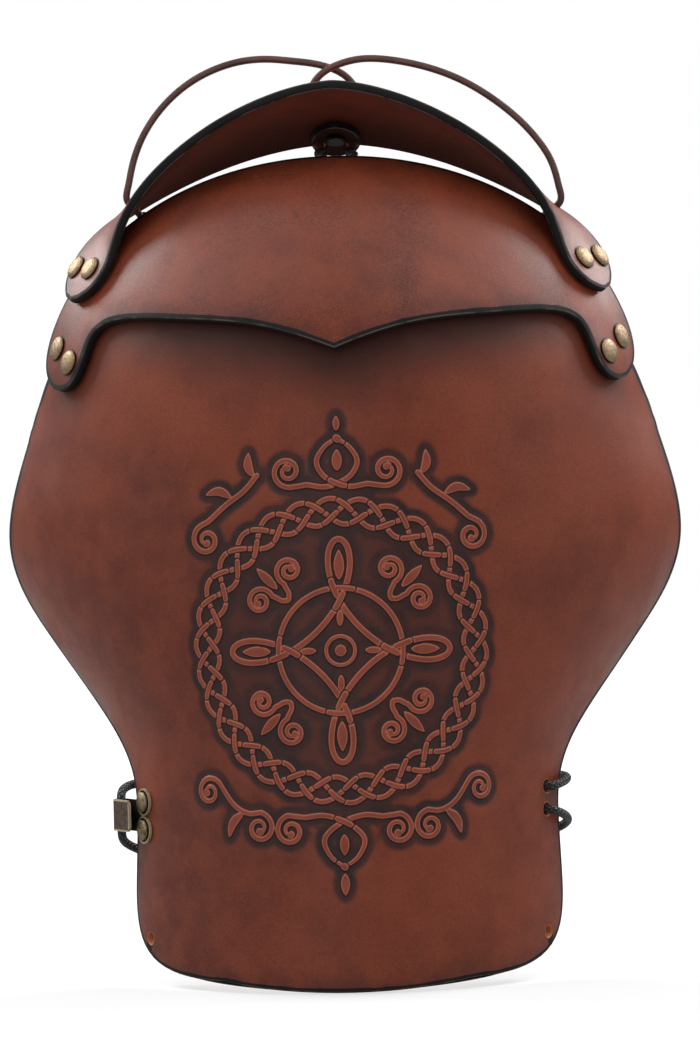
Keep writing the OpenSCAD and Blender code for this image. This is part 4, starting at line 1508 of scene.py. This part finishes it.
def tied_knot(name, points, axis, thickness, material, body, replaced):
    """A small knot that fills the box of these points."""
    low, high = points.min(0), points.max(0)
    path = knot_path((low + high) / 2, axis, (high - low).min() / 2 - thickness / 2)
    obj = apply_tree(curve_object(name, path, closed=True), "cord", {
        "Step": KNOT_STEP * MM, "Radius": thickness / 2 * MM, "Squareness": 0.0,
        "Sides": KNOT_SIDES, "Material": material,
    })
    join_frame(obj, body, replaced)
    return obj


def node_points(node):
    """The points of one of the CAD's nodes, in millimetres."""
    return np.array([v.co for v in frame["nodes"][node].data.vertices]) / MM


def arm_holes():
    """Holes of the arm plate as shares of its grid and a radius."""
    found = []
    t = np.linspace(0, 1, 20001)
    edge = along(ARM_OUTLINE, t)
    for angle, height, radius in ARM_HOLES:
        reach = np.arcsin(edge[:, 0] / girth(edge[:, 1]))
        u = math.radians(angle) / reach
        s = arm_where(u, t)[1]
        usable = abs(u) < 1
        k = np.nonzero(usable)[0][abs(s[usable] - height).argmin()]
        found.append((u[k], t[k], radius))
    return found


def shares_at(surface, target, start):
    """The shares at which a surface comes closest to a point, by a shrinking search."""
    best, reach = np.array(start, float), np.array([0.3, 0.3])
    for _ in range(40):
        a, b = np.meshgrid(np.linspace(-1, 1, 9), np.linspace(-1, 1, 9))
        u = np.clip(best[0] + a.ravel() * reach[0], -1, 1)
        v = np.clip(best[1] + b.ravel() * reach[1], 0, 1)
        gap = np.linalg.norm(surface(u, v)[0] - target, axis=1)
        k = gap.argmin()
        best = np.array([u[k], v[k]])
        reach *= 0.75
    return best


def top_holes():
    """Holes of the top plate for the laces, at the sides and by the neck."""
    found = []
    for angle, over, radius in SIDE_LACE_HOLES:
        target = ball_point(BALL_R + TOP_OUT, math.radians(angle), math.radians(over))
        u, v = shares_at(top_surface, target, (math.copysign(0.75, angle), 0.6))
        found.append((u, v, radius))
    return found + [(x / NECK_REACH, NECK_HOLE_SHARE, LACE_HOLE_R) for x in (-NECK_HOLE_X, NECK_HOLE_X)]


def tab_holes():
    """Holes of the neck tab, in line with the ones of the top plate."""
    t = (NECK_HOLE_SHARE - TAB_SPAN[0]) / (TAB_SPAN[1] - TAB_SPAN[0])
    a = NECK_HOLE_X / tab_half(t)
    return [(-a, t, LACE_HOLE_R), (a, t, LACE_HOLE_R)]


def caps_of(plate):
    """Names of the four rivet caps of a plate."""
    return [f"{plate}_cap_{side}_{level}" for side in ("left", "right") for level in ("low", "high")]


# Operators


class PAULDRON_OT_camera(bpy.types.Operator):
    """Place the camera at the photographed view"""

    bl_idname = "pauldron.camera"
    bl_label = "Camera"

    YAW = 1.6
    ROLL = 1.2
    PIXELS = (700, 1050)
    FOCAL_PIXELS = 4186
    AXIS_PIXEL = 338
    SENSOR = 36
    FRONT_Y = -0.004

    def execute(self, context):
        distance = settings("stage").distance
        turn, roll = math.radians(self.YAW), math.radians(self.ROLL)
        ahead = Vector((-math.sin(turn), math.cos(turn), 0))
        across = Vector((math.cos(turn), math.sin(turn), 0))
        up = Vector((0, 0, 1))
        right = across * math.cos(roll) - up * math.sin(roll)
        rolled_up = up * math.cos(roll) + across * math.sin(roll)
        data = bpy.data.cameras.new("camera")
        data.sensor_width = self.SENSOR
        data.lens = self.FOCAL_PIXELS * distance / CAMERA_DISTANCE * self.SENSOR / max(self.PIXELS)
        data.shift_x = (self.PIXELS[0] / 2 - self.AXIS_PIXEL) / max(self.PIXELS)
        data.clip_start, data.clip_end = 0.1, 20
        camera = placed("camera", data)
        facing = Matrix((right, rolled_up, -ahead)).transposed().to_4x4()
        camera.matrix_world = Matrix.Translation(Vector((0, self.FRONT_Y, 0)) - ahead * distance) @ facing
        context.scene.camera = camera
        return {"FINISHED"}


class PAULDRON_OT_elastic(bpy.types.Operator):
    """Lay the black elastic cord through its two holes and round the hook, and tie its knots"""

    bl_idname = "pauldron.elastic"
    bl_label = "Elastic cord"

    def execute(self, context):
        material = elastic_material()
        for which, rise in (("upper", 0.1), ("lower", -0.1)):
            node = f"elastic_knot_{which}"
            tied_knot(
                node + "_tied", node_points(node), (-0.85, 0.5, rise), 3.6, material,
                "arm_guard", node,
            )
        finish_cord(
            "elastic_braid", ELASTIC_ROUTE, ELASTIC_D, 0.0, material,
            "arm_guard", "elastic_cord",
        )
        return {"FINISHED"}


class PAULDRON_OT_laces(bpy.types.Operator):
    """Lay the two leather laces over the top plate and tie their knots under it"""

    bl_idname = "pauldron.laces"
    bl_label = "Laces"

    def execute(self, context):
        # The knots by the neck take a copy of the lace darkened by painted shade.
        material, shaded = lace_material("lace_leather"), lace_material("lace_leather_dark", 0.85)
        for place, finish in (("side", material), ("neck", shaded)):
            node = "lace_knots_" + place
            points = node_points(node)
            for side, sign in (("left", -1), ("right", 1)):
                axis = (0.65 * sign, -0.4, 0.6) if place == "side" else (0, 0.45, 0.9)
                here = points[(points[:, 0] >= 0) == (sign > 0)]
                tied_knot(
                    f"lace_knot_{place}_{side}", here, axis, 2.4, finish,
                    "top_shoulder", node,
                )
        for side, route, end in (("right", LACE_RIGHT_ROUTE, "left"), ("left", LACE_LEFT_ROUTE, "right")):
            finish_cord(
                f"lace_{side}_strip", route, LACE_D, 0.08, material,
                "top_shoulder", "lace_" + side,
            )
        return {"FINISHED"}


class PAULDRON_OT_arm_plate(bpy.types.Operator):
    """Build the large arm plate with its interlaced ornament"""

    bl_idname = "pauldron.arm_plate"
    bl_label = "Arm plate"

    def execute(self, context):
        material = leather_material("arm_leather", 2.0, pore_share=0.2, side_width=2.0, carved=True)
        finish_sheet(
            "arm_plate_leather", arm_surface, arm_grid(), material,
            "arm_guard", "main_plate", holes=arm_holes(), carve=True,
        )
        return {"FINISHED"}


class PAULDRON_OT_shoulder_plates(bpy.types.Operator):
    """Build the middle and the top shoulder plates"""

    bl_idname = "pauldron.shoulder_plates"
    bl_label = "Shoulder plates"

    def execute(self, context):
        middle = leather_material("middle_leather", 2.4, pore_share=0.7, caps=caps_of("middle"))
        finish_sheet(
            "middle_plate_leather", middle_surface, lame_grid(middle_surface, 2.6, 2.6), middle,
            "middle_shoulder", "middle_lame",
        )
        top = leather_material("top_leather", 1.9, caps=caps_of("top"))
        finish_sheet(
            "top_plate_leather", top_surface, lame_grid(top_surface, 2.6, 2.2), top,
            "top_shoulder", "top_lame", holes=top_holes(),
            inner=inner_leather("top_inner_leather", (0.04, 0.11), True),
        )
        return {"FINISHED"}


class PAULDRON_OT_neck_tab(bpy.types.Operator):
    """Build the small leather tab under the top plate"""

    bl_idname = "pauldron.neck_tab"
    bl_label = "Neck tab"

    def execute(self, context):
        # The neck tab sits in shadow under the top plate; its leather is darkened by painted shade.
        material = leather_material("tab_leather", 0.9, painted_shade=0.8)
        finish_sheet(
            "neck_tab_leather", tab_surface, lame_grid(tab_surface, 1.2, 1.2), material,
            "top_shoulder", "neck_tab", holes=tab_holes(), thickness=TAB_LEATHER,
            clear=TAB_HOLE_CLEAR,
            inner=inner_leather("tab_inner_leather", (-1.0, 0.0), True),
        )
        return {"FINISHED"}


class PAULDRON_OT_metal(bpy.types.Operator):
    """Give the caps, studs and hook their antique brass"""

    bl_idname = "pauldron.metal"
    bl_label = "Brass fittings"

    def execute(self, context):
        # The first word that a node's name holds decides its finish.
        finishes = (
            # The stud under the neck tab is darkened to near black, as painted shade.
            ("neck_stud", brass_material("blackened_stud", 0.3, 1.0, settings("colours").blackened)[0]),
            ("stud", brass_material("antique_brass_studs", 0.9, 1.0)[0]),
            ("hook_", brass_material("antique_brass_hook_caps", 0.6, 0.7)[0]),
            ("hook", hook_material()),
            ("", brass_material("antique_brass_caps", 0.25)[0]),
        )
        for name, node in frame["nodes"].items():
            if not node.hide_render:
                finish = next(material for word, material in finishes if word in name)
                for holder in node.material_slots:
                    holder.material = finish
        return {"FINISHED"}


class PAULDRON_OT_stage(bpy.types.Operator):
    """Set up the pale floor, the white room and soft lamps"""

    bl_idname = "pauldron.stage"
    bl_label = "Stage"

    FLOOR_Z = -0.2018
    FLOOR_R = 9.0
    FLOOR_SIDES = 64
    # Light that the camera sees in the floor by the piece and far from it, and a mirror's share of it.
    NEAR_GLOW = 0.58
    FAR_GLOW = 0.97
    GLOW_REACH = (0.2, 1.5)
    MIRRORED_SHARE = 0.12
    LIT_Y = 0.05
    # Name, place, height of the point that it lights, width, height and power.
    LAMPS = (
        ("lamp_left", (-1.7, -0.8, 0.7), 0, 2.2, 2.0, "key_power"),
        ("lamp_right", (1.7, -0.8, 0.7), 0, 2.2, 2.0, "key_power"),
        ("lamp_back_left", (-1.15, 0.8, 1.05), 0.08, 0.8, 0.8, "back_power"),
        ("lamp_back_right", (1.15, 0.8, 1.0), 0.08, 0.8, 0.8, "back_power"),
        ("lamp_top_left", (-0.75, -0.35, 1.6), 0, 1.4, 1.4, "top_power"),
        ("lamp_top_right", (0.75, -0.35, 1.6), 0, 1.4, 1.4, "top_power"),
        ("lamp_front", (-0.4, -2.4, 0.5), 0, 1.6, 1.6, "front_power"),
    )

    def execute(self, context):
        stage = settings("stage")
        self.floor()
        for name, place, lit_z, width, height, power in self.LAMPS:
            data = bpy.data.lights.new(name, "AREA")
            data.shape, data.size, data.size_y = "RECTANGLE", width, height
            data.energy = getattr(stage, power)
            lamp = placed(name, data)
            lamp.location = place
            ahead = Vector((0, self.LIT_Y, lit_z)) - lamp.location
            lamp.rotation_euler = ahead.to_track_quat("-Z", "Y").to_euler()
        self.room(context.scene, stage.room_light)
        context.scene.view_settings.view_transform = "Standard"
        return {"FINISHED"}

    def seen(self, tree):
        """1 for what the camera sees, and less for what metal mirrors."""
        rays = ("Camera", "Glossy", "Transmission")
        camera, glossy, clear = (add(tree, "ShaderNodeLightPath", out=f"Is {ray} Ray") for ray in rays)
        return camera.maths("ADD", (glossy + clear) * self.MIRRORED_SHARE, clamp=True)

    def room(self, scene, strength):
        """Even light from all round, and white wherever the camera sees past the floor."""
        world = bpy.data.worlds.new("studio")
        world.use_nodes = True
        tree = world.node_tree
        feed(
            tree.nodes["Background"], Color=(1, 1, 1, 1),
            Strength=self.seen(tree) * (1 - strength) + strength,
        )
        scene.world = world

    def floor(self):
        """A wide round floor of plain pale paper."""
        turn = np.linspace(0, 2 * math.pi, self.FLOOR_SIDES, endpoint=False)
        points = [(self.FLOOR_R * math.cos(a), self.FLOOR_R * math.sin(a), self.FLOOR_Z) for a in turn]
        mesh = bpy.data.meshes.new("studio_floor")
        mesh.from_pydata(points, [], [list(range(self.FLOOR_SIDES))])
        material, shader, place = new_material(
            "studio_white", 0.9, Base_Color=(0.35, 0.35, 0.35, 1), Emission_Color=(1, 1, 1, 1)
        )
        glow = ranged(measured("LENGTH", place), *self.GLOW_REACH, self.NEAR_GLOW, self.FAR_GLOW)
        feed(shader, Emission_Strength=self.seen(place.tree) * glow)
        mesh.materials.append(material)
        placed("studio_floor", mesh)


class PAULDRON_PT_panel(bpy.types.Panel):
    """Buttons and settings for the pauldron"""

    bl_idname = "PAULDRON_PT_panel"
    bl_label = "Pauldron"
    bl_space_type = "VIEW_3D"
    bl_region_type = "UI"
    bl_category = "Pauldron"

    def draw(self, context):
        layout = self.layout
        for step in STEPS:
            layout.operator(step.bl_idname)
        for name in ("pauldron_sizes", "pauldron_colours", "pauldron_stage"):
            values = getattr(context.scene, name)
            box = layout.box()
            for key in values.bl_rna.properties.keys():
                if key not in ("rna_type", "name"):
                    box.prop(values, key)


STEPS = (
    PAULDRON_OT_camera,
    PAULDRON_OT_elastic,
    PAULDRON_OT_laces,
    PAULDRON_OT_arm_plate,
    PAULDRON_OT_shoulder_plates,
    PAULDRON_OT_neck_tab,
    PAULDRON_OT_metal,
    PAULDRON_OT_stage,
)
GROUPS = {
    "pauldron_colours": PauldronColours, "pauldron_sizes": PauldronSizes, "pauldron_stage": PauldronStage,
}


def register():
    for kind in (*GROUPS.values(), *STEPS, PAULDRON_PT_panel):
        bpy.utils.register_class(kind)
    for name, kind in GROUPS.items():
        setattr(bpy.types.Scene, name, bpy.props.PointerProperty(type=kind))


def unregister():
    for name in GROUPS:
        delattr(bpy.types.Scene, name)
    for kind in (PAULDRON_PT_panel, *reversed(STEPS), *reversed(list(GROUPS.values()))):
        bpy.utils.unregister_class(kind)


def main():
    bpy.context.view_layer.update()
    register()
    for operation in (
        bpy.ops.pauldron.camera,
        bpy.ops.pauldron.elastic,
        bpy.ops.pauldron.laces,
        bpy.ops.pauldron.arm_plate,
        bpy.ops.pauldron.shoulder_plates,
        bpy.ops.pauldron.neck_tab,
        bpy.ops.pauldron.metal,
        bpy.ops.pauldron.stage,
    ):
        operation()


if __name__ == "__main__":
    main()
